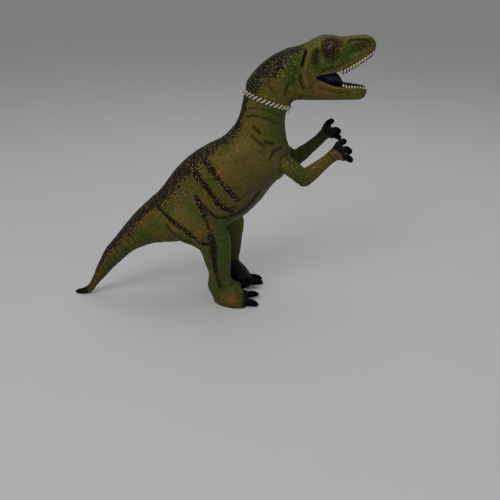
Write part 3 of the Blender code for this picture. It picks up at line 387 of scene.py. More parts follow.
def tube_faces(rings, sides, closed=False, first=0):
    """Quads between neighbouring rings, with the ends capped unless the row of rings is closed."""
    grid = np.arange(rings * sides).reshape(rings, sides) + first
    if closed:
        grid = np.concatenate([grid, grid[:1]])
    beside = np.roll(grid, -1, axis=1)
    quads = np.stack([grid[:-1], beside[:-1], beside[1:], grid[1:]], axis=-1).reshape(-1, 4)
    faces = quads.tolist()
    if not closed:
        faces.append(grid[0][::-1].tolist())
        faces.append(grid[-1].tolist())
    return faces


def read(items, key, width=3, kind=np.float32):
    """One row of numbers for each vertex, edge or triangle."""
    values = np.empty(len(items) * width, kind)
    items.foreach_get(key, values)
    return values.reshape(-1, width)


def read_points(mesh):
    """Places of the mesh's points."""
    return read(mesh.vertices, "co").astype(float)


def write_points(mesh, points):
    """The mesh's points moved to new places."""
    mesh.vertices.foreach_set("co", np.asarray(points, np.float32).ravel())
    mesh.update()


def read_normals(mesh):
    """Outward directions at the mesh's points."""
    return read(mesh.vertex_normals, "vector").astype(float)


def neighbours(mesh):
    """Both ends of each edge."""
    return read(mesh.edges, "vertices", 2, np.int32)


def signed_volume(mesh):
    """Sum over the triangles of a . (b x c) / 6."""
    mesh.calc_loop_triangles()
    corners = read_points(mesh)[read(mesh.loop_triangles, "vertices", 3, np.int32)]
    return float(np.einsum("ij,ij->i", corners[:, 0], np.cross(corners[:, 1], corners[:, 2])).sum() / 6)


def new_object(name, points, faces, smooth=True):
    """A mesh object at the origin with its faces turned outwards."""
    mesh = bpy.data.meshes.new(name)
    mesh.from_pydata(np.asarray(points, float).reshape(-1, 3), [], faces)
    mesh.update()
    thing = bpy.data.objects.new(name, mesh)
    bpy.context.scene.collection.objects.link(thing)
    if signed_volume(mesh) < 0:
        mesh.flip_normals()
    if smooth:
        mesh.shade_smooth()
    return thing


def gather(name, grids, closed=()):
    """Tubes, each an array of rings x sides x 3, kept apart in one object; the closed ones run round."""
    points, faces, first = [], [], 0
    for number, rings in enumerate(grids):
        faces += tube_faces(rings.shape[0], rings.shape[1], number in closed, first)
        points.append(rings.reshape(-1, 3))
        first += len(points[-1])
    return new_object(name, np.concatenate(points), faces)


def modify(thing, kind, **settings):
    """The object's mesh replaced by what one modifier makes of it."""
    step = thing.modifiers.new(kind.lower(), kind)
    for key, value in settings.items():
        setattr(step, key, value)
    bpy.context.view_layer.update()
    made = bpy.data.meshes.new_from_object(thing.evaluated_get(bpy.context.evaluated_depsgraph_get()))
    made.name = thing.name
    thing.modifiers.clear()
    thing.data = made
    return thing


def cut(thing, tool):
    """One closed solid taken out of another."""
    modify(thing, 'BOOLEAN', operation='DIFFERENCE', solver='EXACT', object=tool)
    bpy.data.objects.remove(tool)


def blend_solids(thing, grid):
    """All the closed solids of one mesh made a single skin by a voxel remesh."""
    modify(thing, 'REMESH', mode='VOXEL', voxel_size=grid, adaptivity=0.0).data.shade_smooth()
    return thing


def relax(points, edges, rounds, share=0.5, mask=None):
    """Each point drawn towards its neighbours' mean: p + share * mask * (mean - p), round after round."""
    count = np.bincount(edges.ravel(), minlength=len(points))[:, None]
    pull = share if mask is None else share * mask[:, None]
    for _ in range(rounds):
        total = np.zeros_like(points)
        for axis in range(3):
            total[:, axis] = (np.bincount(edges[:, 0], points[edges[:, 1], axis], len(points))
                              + np.bincount(edges[:, 1], points[edges[:, 0], axis], len(points)))
        points = points + (total / np.maximum(count, 1) - points) * pull
    return points


def noise(points, size, seed=0):
    """Value noise from -1 to 1: hashed lattice values blended by smoothstep weights along each axis."""
    places = points / size
    base = np.floor(places).astype(np.int64)
    part = places - base
    part = part * part * (3 - 2 * part)
    total = np.zeros(len(points))
    for corner in range(8):
        step = np.array([corner & 1, corner >> 1 & 1, corner >> 2 & 1])
        cell = base + step
        mixed = (cell[:, 0] * 73856093) ^ (cell[:, 1] * 19349663) ^ (cell[:, 2] * 83492791) ^ (seed * 2654435761)
        mixed = (mixed ^ (mixed >> 13)) * 1274126177
        value = ((mixed >> 8) & 0xFFFF) / 32767.5 - 1.0
        weight = np.prod(np.where(step, part, 1 - part), axis=1)
        total += value * weight
    return total


def ramp(values, low, high):
    """Smoothstep from 0 at low to 1 at high."""
    t = np.clip((values - low) / (high - low), 0.0, 1.0)
    return t * t * (3 - 2 * t)


def bell(values, width, middle=0.0):
    """exp(-((value - middle) / width)^2)."""
    return np.exp(-((values - middle) / width) ** 2)


def bumps(points, layers):
    """Layers of value noise added up, in millimetres."""
    return sum(tall * noise(points, size, seed) for size, tall, seed in layers)


def path_distance(points, path):
    """Least distance from each point to a broken line, and how far along it that is, from 0 to 1."""
    best = np.full(len(points), np.inf)
    where = np.zeros(len(points))
    steps, walked = walk(path)
    for start, end, before, step in zip(path[:-1], path[1:], walked, steps):
        t = np.clip((points - start) @ (end - start) / (step * step), 0.0, 1.0)
        away = np.linalg.norm(points - start - t[:, None] * (end - start), axis=1)
        closer = away < best
        best = np.where(closer, away, best)
        where = np.where(closer, (before + t * step) / walked[-1], where)
    return best, where


def facing_out(points, normals, low=0.0, high=0.45):
    """1 where the skin faces away from the middle plane, easing to 0."""
    return ramp(normals[:, 1] * np.sign(points[:, 1]), low, high)


def side_stroke(points, normals, path, width, taper=0.18):
    """A mark on both outer sides along a line of x, z in millimetres, seen square from the side."""
    away, along = path_distance(points[:, [0, 2]], np.asarray(path, float) * MM)
    fade = ramp(along, -0.001, taper) * (1 - ramp(along, 1 - taper, 1.001))
    return bell(away, width * MM) * fade * facing_out(points, normals)


def press(points, normals, lines, taper, scale, dark, rim):
    """Height in millimetres and darkness, as painted shade, left by lines of path, width and height: folds are below
    0, ridges above.
    """
    lift, crease = np.zeros(len(points)), np.zeros(len(points))
    for path, width, tall in lines:
        tall *= scale
        shape = side_stroke(points, normals, path, width, taper)
        lift += tall * shape
        if tall < 0:
            # Painted shade: the deeper a fold, the darker it is painted.
            crease = np.maximum(crease, shape * min(1.0, abs(tall) * dark))
            if rim:
                lift += rim * abs(tall) * (side_stroke(points, normals, path, width * 2.4, taper) - shape)
    return lift, crease


def right_side(points):
    """Points of both sides laid over the right side."""
    return np.column_stack([points[:, 0], -np.abs(points[:, 1]), points[:, 2]])


def spot(points, place, width):
    """Bell-shaped mark round a point in millimetres."""
    return bell(np.linalg.norm(points - np.asarray(place, float) * MM, axis=1), width * MM)


def spread(points, places):
    """Sum of bell shapes round places of x, z and size in millimetres, seen from the side."""
    flat = points * np.array([1.0, 0.0, 1.0])
    return sum(spot(flat, (x, 0, z), size) for x, z, size in places)


def about_axis(points, start, axis):
    """Distance of each point along an axis, its offset square to the axis and that offset's length."""
    offset = points - start
    out = offset @ axis
    radial = offset - out[:, None] * axis
    return out, radial, np.linalg.norm(radial, axis=1)


def mark(thing, **masks):
    """Masks from 0 to 1, one number for each point of the mesh, which the material reads by name."""
    count = len(thing.data.vertices)
    for name, values in masks.items():
        layer = thing.data.attributes.new(name, 'FLOAT', 'POINT')
        layer.data.foreach_set("value", np.clip(np.broadcast_to(values, (count,)), 0, 1).astype(np.float32))


def body_place(points, stations):
    """Where each point is in the body: share of the way along the stations, and its height from -1 to 1."""
    back, belly = stations[:, [0, 1]], stations[:, [2, 3]]
    middle, axis = (back + belly) / 2, (back - belly) / 2
    size = np.einsum("ij,ij->i", axis, axis)
    best = np.full(len(points), np.inf)
    along, height = np.zeros(len(points)), np.zeros(len(points))
    flat = points[:, [0, 2]]
    for number in range(len(stations)):
        offset = flat - middle[number]
        up = offset @ axis[number] / size[number]
        away = np.linalg.norm(offset - up[:, None] * axis[number], axis=1)
        away = away + np.maximum(np.abs(up) - 1.0, 0.0) * np.sqrt(size[number])
        closer = away < best
        best = np.where(closer, away, best)
        along = np.where(closer, number / (len(stations) - 1), along)
        height = np.where(closer, up, height)
    return along, height


# Neck seam
def seam_frame():
    """Middle of the seam, its direction towards the head, its forward direction and two half sizes."""
    ring = real_stations([NECK_RING_SHARE], NECK_WIDTH)[0]
    back = np.array([ring[0], 0.0, ring[1]])
    belly = np.array([ring[2], 0.0, ring[3]])
    forward = unit(belly - back)
    normal = np.cross(forward, (0.0, 1.0, 0.0))
    normal = normal if normal[2] > 0 else -normal
    return (back + belly) / 2, normal, forward, np.linalg.norm(belly - back) / 2, ring[4]


def seam_ring(distance, inset):
    """The seam's station moved along the neck and drawn in."""
    ring = real_stations([NECK_RING_SHARE], NECK_WIDTH)[0]
    normal, forward = seam_frame()[1:3]
    ring[0:2] += normal[[0, 2]] * distance + forward[[0, 2]] * inset
    ring[2:4] += normal[[0, 2]] * distance - forward[[0, 2]] * inset
    ring[4] -= inset
    return ring


def seam_points(angles, distance, inset):
    """Points of the seam's oval, moved along the neck and inwards, with the outward directions there."""
    middle, normal, forward, reach, wide = seam_frame()
    side = np.array([0.0, 1.0, 0.0])
    along, across = (squared(wave, OVAL)[:, None] for wave in (np.cos(angles), np.sin(angles)))
    outward = unit(forward * along / reach + side * across / wide)
    place = middle + forward * along * reach + side * across * wide
    return place - outward * np.reshape(inset, (-1, 1)) + normal * np.reshape(distance, (-1, 1)), outward


def even_angles(shares):
    """Angles at shares of the way round the seam's oval, measured along it."""
    fine = np.linspace(0.0, 2 * pi, 2881)
    walked = walk(seam_points(fine, 0.0, 0.0)[0])[1]
    return np.interp(np.asarray(shares) * walked[-1], walked, fine)


# Shapes of the skins
def body_stations(count):
    """Stations from just under the seam to the tail tip."""
    rows = np.concatenate([[seam_ring(-SEAM_GROOVE_WIDTH / 2, 0.0)], real_stations(TORSO_SHARES, TORSO_WIDTH),
                           real_stations(TAIL_SHARES, TAIL_WIDTH)])
    return smooth_rows(rows, count)


def leg_stations(side, count):
    """Leg stations with the step forward worked in; the last number is how far out each stands."""
    table = np.asarray(LEG_SHARES, float)
    rows = np.column_stack([real_stations(table, LEG_WIDTH), table[:, 5] * HIP_SPREAD])
    if side > 0:
        rows[:, [0, 2]] += (table[:, 6] * STRIDE)[:, None]
    return smooth_rows(rows, count)


def claw_places(side):
    """Root, tip, direction and thickness of each claw of a foot, from the outer one."""
    stride = STRIDE * LEG_SHARES[-1][6] if side > 0 else 0.0
    places = []
    for number, (along, across, low, high, splay) in enumerate(CLAW_PLACE_SHARES):
        inner = number == 2
        root = np.array([along * LENGTH + stride, side * across * HIP_SPREAD, low * CLAW_THICKNESS])
        tip_height = high * CLAW_THICKNESS
        if inner:
            root[2], tip_height = INNER_CLAW_RAISE, INNER_CLAW_RAISE * 1.06
        direction = np.array([cos(splay), side * sin(splay), 0.0])
        tip = root + direction * CLAW_LENGTH * (0.82 if inner else 1.0)
        tip[2] = tip_height
        places.append((root, tip, direction, CLAW_THICKNESS * (0.85 if inner else 1.0)))
    return places


def toe_rings(root, tip, direction):
    """A toe that grows out of the foot, swells at its knuckle and closes round the claw's root.

    Its line is a straight one arched by a sine of the share to the power 1.3, and its girth is read from a table.
    """
    start = root - direction * TOE_LENGTH
    start[2] = root[2] + TOE_HEIGHT * 0.22
    end = root + (tip - root) * 0.20
    end[2] = root[2]
    share = np.linspace(0.0, 1.0, 26)
    path = start + (end - start) * share[:, None]
    path[:, 2] += 0.0016 * np.sin(pi * share ** 1.3)
    girth = np.interp(share, *TOE_GIRTH)
    tall = np.minimum(TOE_HEIGHT / 2 * girth, path[:, 2] - GAP)
    return sweep(path, tall, TOE_WIDTH / 2 * girth, 24)


def shoulder_frame(side):
    """Middle of the arm's seat and the outward axis that the arm turns about."""
    place = np.array([SHOULDER_SHARE[0] * LENGTH, side * SHOULDER_SPREAD / 2, SHOULDER_SHARE[1] * HEIGHT])
    return place, np.array([sin(SHOULDER_TILT), side * cos(SHOULDER_TILT), 0.0])


def make_body_solid():
    """Torso, tail, legs and toes as overlapping closed tubes, each a row of super-ellipses through its stations.

    A foot turns outwards by tan(splay) times its share of the way below the ankle.
    """
    stations = body_stations(260)
    lean = np.where(stations[:, 4] > WALL * 4, -0.06, 0.0)
    rim = ovals(seam_ring(-GAP / 2, SEAM_GROOVE_DEPTH), BODY_SIDES)
    grids = [np.concatenate([rim, ovals(stations, BODY_SIDES, lean=lean)])]
    for side in (-1, 1):
        rows = leg_stations(side, 90)
        power = np.where(rows[:, 1] < TOE_HEIGHT * 2, 2.6, 2.3)
        rings = ovals(rows, 56, lean=0.08, upper=power, lower=2.15, middle_y=side * rows[:, 5])
        middle = rings.mean(axis=1, keepdims=True)
        turned = tan(FOOT_SPLAY) * np.clip(1 - middle[..., 2] / ANKLE_HEIGHT, 0.0, 1.0)
        rings[..., 1] += side * turned * (rings[..., 0] - middle[..., 0])
        rings[-1, :, 2] = 0.0
        grids.append(rings)
        grids += [toe_rings(*place[:3]) for place in claw_places(side)]
    return gather("painted_body", grids)


def shape_shoulders(points):
    """The chest drawn up round each arm's root as a soft collar, with the seat pressed flat inside it.

    With r the distance from the arm's axis and R the root's radius, the skin outside rises to
    max(out, height - slope (r - R)), eased where the two meet; points close to R are moved onto it.
    """
    radius = ARM_ROOT_DIAMETER / 2
    for side in (-1, 1):
        seat, axis = shoulder_frame(side)
        out, radial, away = about_axis(points, seat, axis)
        front = (out > -0.014) & (out < ARM_ROOT_DIAMETER) & (away < 0.018)
        collar = COLLAR_HEIGHT - COLLAR_SLOPE * np.maximum(away - radius, 0.0)
        gap = np.clip((collar - out) / COLLAR_EASE, -1.0, 1.0)
        eased = (collar + out) / 2 + COLLAR_EASE * (1 + gap * gap) / 4
        raised_out = np.where(gap >= 1, collar, np.where(gap <= -1, out, eased))
        snapped = np.where(front & (np.abs(away - radius) < 0.0008), radius + 0.0001, away)
        new_out = np.where(front & (snapped < radius), -GAP, np.where(front, raised_out, out))
        shift = (new_out - out)[:, None] * axis
        shift += radial / np.maximum(away, 1e-6)[:, None] * (snapped - away)[:, None]
        points = points + np.where(front[:, None], shift, 0.0)
    return points


# Folds and ridges as lines of x, z in millimetres, then width and height
BODY_FOLDS = (
    (((-10.9, 123.2), (-4.5, 114), (-0.1, 108.1), (8, 99.7), (17.3, 98.4), (29.7, 102.8), (39.3, 111.5), (47, 122),
      (53, 132)), 1.3, -1.1),
    (((-8, 118), (-2, 108), (6, 102), (16, 100.5), (28, 105), (38, 113.5)), 1.0, -0.5),
    (((-20, 118), (-10, 112), (-4, 101), (4, 92), (16, 90), (24, 86)), 4.5, 1.3),
    (((41.1, 185.6), (45.5, 181), (50.1, 177.4)), 1.3, -0.8),
    (((51, 172.3), (57, 170), (62.9, 168.9)), 1.2, -0.8),
    (((38, 178), (46, 172), (55, 166)), 1.3, -0.6),
    (((59, 160), (64, 164), (70, 165)), 1.1, -0.7),
    (((56, 154), (60, 160), (62, 166)), 1.2, -0.6),
    (((33, 190), (42, 194), (56, 191), (68, 184)), 1.3, -0.5),
    (((34, 198), (46, 201), (60, 197), (70, 191)), 1.2, -0.4),
    (((54, 160), (50, 163), (46, 163)), 1.2, -0.4),
    (((-11, 80), (-8.6, 76.6), (-1.1, 74.2), (3, 76)), 1.4, -1.0),
    (((4, 33), (13, 33.5), (20, 36)), 1.3, -0.22),
    (((8, 25), (16, 25), (25, 27)), 1.3, -0.25),
    (((-2, 13), (6, 9), (14, 8)), 1.4, -0.25),
    (((24, 14), (29, 11), (33, 10)), 1.2, -0.3),
    (((16, 60), (17, 50), (17, 40)), 2.4, 0.6),
    (((-44, 96), (-36, 86), (-24, 78), (-12, 75)), 1.6, -0.6),
)
# Dark stripes: the line, its width and how dark it gets
STRIPES = (
    (((-10, 163), (-4, 156), (0.5, 150.7), (6.4, 143.2)), 3.6, 0.90),
    (((2.4, 149.0), (6.9, 143.4), (13.6, 134.5), (19.9, 127.8), (25.4, 121.7), (29.1, 115.1)), 2.3, 0.95),
    (((-22, 154), (-16, 147), (-10, 141), (-5, 136)), 3.6, 0.90),
    (((-9.5, 140.8), (-5.9, 136.8), (0.5, 128.5), (8.6, 117.1), (14, 112), (21.4, 107.1), (26, 105.5)), 2.7, 0.95),
    (((-12, 123.4), (-8.6, 117), (-5.4, 109.5), (-2.3, 101.5)), 2.1, 0.95),
    (((-2.3, 101.5), (0.2, 93), (2.8, 86)), 2.2, 0.55),
    (((1.4, 88), (3.0, 80.1), (3.6, 66.8), (4.2, 55)), 3.2, 1.0),
    (((3.8, 60), (4.6, 48), (5.6, 38)), 2.6, 0.85),
    (((-9, 77), (-3, 74.5), (3, 73)), 2.0, 0.75),
    (((5.6, 40), (7.4, 31), (9.6, 22)), 2.3, 0.62),
    (((-46, 106.2), (-43.0, 103.8), (-36.7, 99.1), (-30.7, 95.6), (-20.3, 88.7), (-10.3, 80.2)), 2.1, 0.95),
    (((-58, 118), (-50, 110), (-44, 104)), 3.0, 0.75),
    (((28, 112), (22, 109), (16, 110)), 3.6, 0.50),
    (((-34, 142), (-30, 134), (-27, 127)), 2.6, 0.70),
)
RUST_PATHS = (
    (((4.5, 48), (6.1, 38), (8.1, 29.8), (10.9, 20.2)), 2.2, 0.95),
    (((-2.5, 100), (0.2, 92.5), (2.8, 84)), 1.5, 0.35),
)
# Places of airbrushed colour as x, z and size in millimetres
WARM_PLACES = ((10.4, 145.5, 3.6), (13.5, 140.5, 3.4), (-8.5, 87.4, 4), (0.6, 93.6, 3.4), (19.9, 10.6, 4.5),
               (-31, 91, 3), (-58, 100, 3), (-66, 90, 3), (-50, 108, 3))
OCHRE_PLACES = ((36, 181, 11), (16, 152, 9), (28, 146, 9), (45, 150, 8), (-8, 140, 6), (0, 120, 6),
                (-30, 106, 8), (-18, 98, 7), (-10, 90, 7), (-44, 100, 6), (20, 9, 5), (52, 190, 7), (46, 198, 7),
                (30, 168, 8), (60, 152, 6), (56, 158, 5))
OCHRE_WASHES = ((-80, 70, 16), (-100, 46, 12), (-30, 98, 14), (58, 156, 14), (62, 186, 12))
FRESH_PLACES = ((14.2, 76, 10), (13, 62, 10), (12, 70, 7), (5, 24, 8), (25, 24, 8), (10, 36, 7), (2, 10, 6),
                (-6, 104, 5), (-50, 92, 8), (-66, 78, 8), (-88, 56, 8), (-104, 38, 7), (-3.7, 62.6, 6), (11, 50, 7),
                (-4, 50, 6), (-14, 112, 6), (18, 92, 7), (4, 138, 5), (60, 175, 9), (58, 196, 9), (-24, 82, 7),
                (-36, 108, 5))


def finish_body(thing):
    """Folds, tail rings, shoulder collars and the paint's masks on the blended body.

    The skin moves along its normals by the folds, by rings of |wave|^4 round the tail, by bumps and by wrinkles.
    """
    mesh = thing.data
    edges = neighbours(mesh)
    points = read_points(mesh)
    along, height = body_place(points, body_stations(300))
    join = spot(right_side(points), (-4, -20, 104), 34) * ramp(points[:, 2], 0.060, 0.080)
    points = relax(points, edges, 14, 0.6, np.clip(join * 1.6, 0, 1))
    points = relax(points, edges, 3, 0.5, ramp(points[:, 2], 0.0015, 0.004))
    write_points(mesh, points)
    normals = read_normals(mesh)
    lift, crease = press(points, normals, BODY_FOLDS, 0.18, 1.3, 1.1, 0.28)
    tail = ramp(along, 0.50, 0.66) * (1 - ramp(along, 0.93, 0.97))
    phase = along * TAIL_RINGS + 0.8 * noise(points, 0.016, 5) + height * 0.55
    rings = tail * np.abs(((phase % 1.0) - 0.5) * 2) ** 4 * ramp(-height, -1.05, -0.3)
    wrinkle = bell(noise(points * np.array([1.0, 1.0, 1.7]), 0.0062, 8), 0.10)
    lift += bumps(points, BODY_BUMPS) - 0.62 * rings - 0.32 * wrinkle * (1 - tail) * ramp(points[:, 2], 0.004, 0.02)
    # Painted shade in the folds, the tail's ring grooves and the wrinkles.
    crease = np.maximum.reduce([crease, 0.85 * rings, 0.22 * wrinkle])
    middle, normal = seam_frame()[:2]
    below = -(points - middle) @ normal
    calm = np.where((below < 0.010) & (points[:, 2] > 0.15), ramp(below, 0.001, 0.007), 1.0)
    lift *= ramp(points[:, 2], 0.0008, 0.004) * calm
    points = points + normals * (lift * MM)[:, None]
    points[:, 2] = np.maximum(points[:, 2], 0.0)
    points = shape_shoulders(points)
    write_points(mesh, points)
    outer = facing_out(points, normals)
    legs = ramp(-points[:, 2], -0.085, -0.070) * (points[:, 0] > -0.05)
    back = ramp(height + 0.10 * noise(points, 0.012, 14), 0.66, 1.02)
    net = (0.80 * back + 0.16 * ramp(height, 0.0, 0.7)) * (1 - legs)
    net = np.maximum(net, (0.66 * ramp(height, 0.30, 1.0) + 0.18) * tail)
    # Golden scale tops, thicker higher up, in a belt and beside the stripes: dry-brushed paint and partly painted
    # glints.
    gold = (0.06 + 0.40 * ramp(height, 0.2, 0.8)) * (1 - legs) * (1 - 0.7 * ramp(points[:, 0], 0.040, 0.062))
    gold += (0.30 + 0.40 * tail) * bell(height, 0.24, 0.50 + 0.12 * (1 - tail)) * (1 - legs)
    ragged = 1 + 0.35 * noise(points, 0.005, 11) + 0.25 * noise(points, 0.0024, 12)
    for path, width, dark in STRIPES:
        core = side_stroke(points, normals, path, width, 0.09)
        halo = side_stroke(points, normals, path, width * 2.2, 0.08)
        net = np.maximum(net, dark * core * ragged * 1.05)
        gold = np.maximum(gold, halo * (1 - legs * 0.8))
    rust = sum(dark * side_stroke(points, normals, path, width) for path, width, dark in RUST_PATHS)
    belly = (0.45 * ramp(-height, -0.25, 0.30) + 0.55 * ramp(-height, 0.25, 0.90)) * (1 - legs)
    # Painted shade: the far side's lower body and leg take the grey belly colour and some reddish brown.
    far_shade = ramp(points[:, 1], 0.000, 0.008) * ramp(-points[:, 2], -0.095, -0.050)
    tip = ramp(-points[:, 0], 0.1335, 0.1355)
    # Black on the inner sides of the feet, spread wider on the far foot: partly black paint, partly painted shade.
    inward = -normals[:, 1] * np.sign(points[:, 1])
    foot_black_and_shade = np.where(points[:, 1] > 0, ramp(inward, -0.35, 0.15), ramp(inward, 0.3, 0.7))
    foot_black_and_shade = foot_black_and_shade * ramp(-points[:, 2] + 0.25 * MM * noise(points, 0.006, 15), -0.042, -0.026)
    toes = ramp(points[:, 0] + 0.0008 * noise(points, 0.003, 16), 0.0290, 0.0345) * ramp(-points[:, 2], -0.018, -0.013)
    mark(thing, net=net, gold=gold,
         warm=1.2 * spread(points, WARM_PLACES) * outer + 0.22 * tail * ramp(height, 0.2, 0.7),
         ochre=(spread(points, OCHRE_PLACES) + 0.40 * spread(points, OCHRE_WASHES)) * outer,
         fresh=spread(points, FRESH_PLACES) * np.maximum(outer, legs), belly=np.maximum(belly, 0.8 * far_shade), pale=0.0,
         rust=1.3 * rust + 0.4 * far_shade * ramp(-points[:, 2], -0.078, -0.045), black=tip + 0.9 * foot_black_and_shade + 0.8 * toes,
         crease=crease * calm, coarse=0.45 + 0.35 * gold + 0.2 * net - 0.25 * belly)


# Head
CHEEK_LINE = ((91.8, 250.9), (89.7, 246.4), (88.0, 240.7), (86.5, 234.9), (85.5, 229), (87.4, 222.9), (91.6, 217.2))
SNOUT_LINE = ((143.8, 250.5), (138.3, 248.1), (133.7, 246), (128.3, 243.1), (124.0, 240.9))
LIP_LINE = ((98.2, 226.6), (105, 229.6), (115.7, 231.0), (121.9, 234.6), (126.5, 237.6), (132.6, 240.9),
            (138.8, 244.1), (145.1, 248.0))
HEAD_RIDGES = (
    (((99, 254.5), (104.9, 257.2), (110.5, 257.6), (115.8, 254.9), (118.5, 251)), 1.9, 1.5),
    (((121.4, 255.0), (125.4, 257.0), (133.2, 257.8), (139.4, 257.5), (143.9, 254.4)), 1.2, 0.9),
    (SNOUT_LINE, 1.4, 1.1),
    (((122, 249.5), (121, 253), (123, 255.6)), 1.4, 0.5),
    (CHEEK_LINE, 1.9, 2.1),
    (((87.6, 249.2), (86, 244.2), (84.9, 240), (83.9, 234)), 1.1, -2.2),
    (((83.0, 230), (83.4, 223), (86.4, 216)), 1.2, -0.8),
    (((96.3, 249), (95.0, 243), (95.6, 236)), 2.6, -1.4),
    (((95.8, 250.5), (97.0, 247.5)), 1.6, -1.2),
    (((100.9, 248), (101.2, 243), (101.1, 238)), 1.3, 0.5),
    (((91.8, 251.4), (96.5, 253.0), (101.6, 252.4)), 1.2, 0.6),
    (((103, 241), (108, 239.5), (114, 241.5), (118, 246)), 1.5, -0.6),
    (LIP_LINE, 1.1, 0.6),
    (((100, 231), (108, 234), (116, 235.4), (122, 238.6)), 1.3, -0.45),
    (((97, 223.5), (102, 221.4), (108, 218.8), (114, 216.8), (125, 216), (134, 215.8), (140.6, 215.2)), 1.1, 0.5),
    (((98, 219), (106, 216), (116, 213.6), (130, 212.0)), 1.5, -0.45),
    (((94, 222), (97, 226), (102, 227.5)), 1.3, 0.6),
    (((66, 243), (64.5, 236), (61.5, 230), (59.6, 224.7)), 1.4, -0.9),
    (((73, 224), (71, 217), (70.1, 210.2)), 1.3, -0.8),
    (((79, 236), (77.5, 228), (76.5, 220)), 1.3, -0.5),
    (((55, 226), (56, 219), (60, 213)), 1.3, -0.5),
    (((76.6, 209.2), (75.4, 204.5), (75, 199.7)), 1.3, -0.8),
    (((84, 211), (82, 206), (81, 203)), 1.2, -0.6),
)
# Paint of the head: lines of the slit before the eye's corner, the snout's recess and the brow, then each pale
# band's line and width
SLIT_LINE = ((87.2, 249.0), (85.8, 244.2), (84.9, 240), (84.2, 237))
RECESS_LINE = ((121.4, 254.2), (125.4, 256.2), (133.2, 256.9), (139.4, 256.6), (143.5, 253.6))
BROW_LINE = ((101.5, 253.5), (104.0, 257.2), (110.5, 257.6), (115.4, 254.7), (117.3, 250.5))
PALE_BANDS = (
    (((100.4, 248.7), (101.2, 243), (101.1, 238)), 1.2),
    (SNOUT_LINE[:-1] + ((124.5, 240.9),), 1.2),
    (((91.8, 250.6), (95.5, 252.3), (99.3, 253), (101.6, 251.8)), 1.2),
    (LIP_LINE, 1.0),
    (((97, 223.9), (102, 221.8), (108, 219.2), (114, 217.2), (125, 216.2), (134, 215.8)), 0.9),
)
HEAD_GREENS = ((78, 240, 7), (77, 231, 7), (74, 222, 7), (96.3, 246, 3.5), (94.6, 241, 4), (97, 235, 4),
               (126, 247, 6), (121, 243, 5), (106, 235, 5), (112, 243, 4))
HEAD_OCHRES = ((64, 222, 9), (68, 211, 8), (98, 216, 8), (108, 214, 7), (90, 222, 5))
# Upper and lower edge of the gap between the cheeks, from its corner forward
CHEEK_GAP_TOP = ((95.2, 225.75), (97.5, 226.9), (101, 228.2), (106, 229.3), (111, 230.1), (117, 231.0), (126, 237.0))
CHEEK_GAP_BOTTOM = ((95.2, 225.65), (97.5, 224.9), (101, 223.5), (106, 221.4), (112, 219.2), (118, 217.9),
                    (126, 217.4))
# Half width, floor and roof of the dark mouth lining, each as places of x and values there, in metres
LINING_WIDTH = ((0.096, 0.106, 0.12, 0.135, 0.146), (0.0136, 0.0128, 0.0106, 0.0078, 0.0045))
LINING_FLOOR = ((0.096, 0.104, 0.112, 0.12, 0.146), (0.2246, 0.2212, 0.2176, 0.2150, 0.2125))
LINING_ROOF = ((0.096, 0.104, 0.112, 0.12, 0.146), (0.2268, 0.2298, 0.2316, 0.2362, 0.2478))


def make_head_solid():
    """Skull and jaw as overlapping closed tubes with the mouth cut out between them.

    The tubes are super-ellipses; the skull's powers grow in a straight line where its cheeks begin.
    """
    stations = smooth_rows(np.concatenate([[seam_ring(SEAM_GROOVE_WIDTH / 2, 0.0)],
                                           real_stations(SKULL_SHARES, HEAD_WIDTH)]), 150)
    ahead = np.clip((stations[:, 2] / LENGTH - 0.29) / 0.05, 0.0, 1.0)
    rim = ovals(seam_ring(GAP / 2, SEAM_GROOVE_DEPTH), HEAD_SIDES)
    skull = np.concatenate([rim, ovals(stations, HEAD_SIDES, upper=OVAL + 0.3 * ahead, lower=OVAL + 2.0 * ahead)])
    jaw = ovals(smooth_rows(real_stations(JAW_SHARES, JAW_WIDTH), 70), 56, upper=4.0, lower=2.4)
    head = blend_solids(gather("painted_head", [skull, jaw]), HEAD_GRID)
    rows = real_stations(MOUTH_SHARES, JAW_WIDTH)
    rows[:, 4] = np.maximum(rows[:, 4] - MOUTH_LIP, MOUTH_LIP / 2)
    cut(head, gather("mouth", [ovals(smooth_rows(rows, 50), 48, upper=2.6, lower=2.6)]))
    profile = np.concatenate([smooth_rows(CHEEK_GAP_TOP, 40), smooth_rows(CHEEK_GAP_BOTTOM, 40)[::-1]]) * MM
    rings = np.stack([np.insert(profile, 1, wide, axis=1) for wide in np.linspace(-0.024, 0.024, 4)])
    cut(head, gather("cheek_gap", [rings]))
    return blend_solids(head, HEAD_GRID)


def skull_half_width(x, z):
    """Half width of the skull at a point of its middle plane: w (1 - |u|^2.4)^(1/2.4) in the nearest section.

    There w is the section's half width and u the point's height in it, from -1 to 1.
    """
    rows = smooth_rows(real_stations(SKULL_SHARES, HEAD_WIDTH), 60)
    back, belly = rows[:, [0, 1]], rows[:, [2, 3]]
    axis = (back - belly) / 2
    offset = np.array([x, z]) - (back + belly) / 2
    up = np.einsum("ij,ij->i", offset, axis) / np.einsum("ij,ij->i", axis, axis)
    away = np.linalg.norm(offset - axis * up[:, None], axis=1) + np.where(np.abs(up) < 1, 0.0, 1.0)
    best = int(np.argmin(away))
    return rows[best, 4] * (1 - abs(up[best]) ** 2.4) ** (1 / 2.4)


def on_skull(share, side):
    """A point on the side of the skull and the outward direction there, from differences of its half width."""
    x, z = share[0] * LENGTH, share[1] * HEIGHT
    step = EYE_DIAMETER / 2
    along = (skull_half_width(x + step, z) - skull_half_width(x - step, z)) / step / 2
    up = (skull_half_width(x, z + step / 2) - skull_half_width(x, z - step)) / step / 1.5
    return np.array([x, side * skull_half_width(x, z), z]), unit(np.array([-along, side, -up]))


def eye_centre(side):
    """Middle of an eye ball, sunk in the skull but for its stand."""
    place, outward = on_skull(EYE_SHARE, side)
    return place + outward * (EYE_STAND - EYE_DIAMETER / 2)


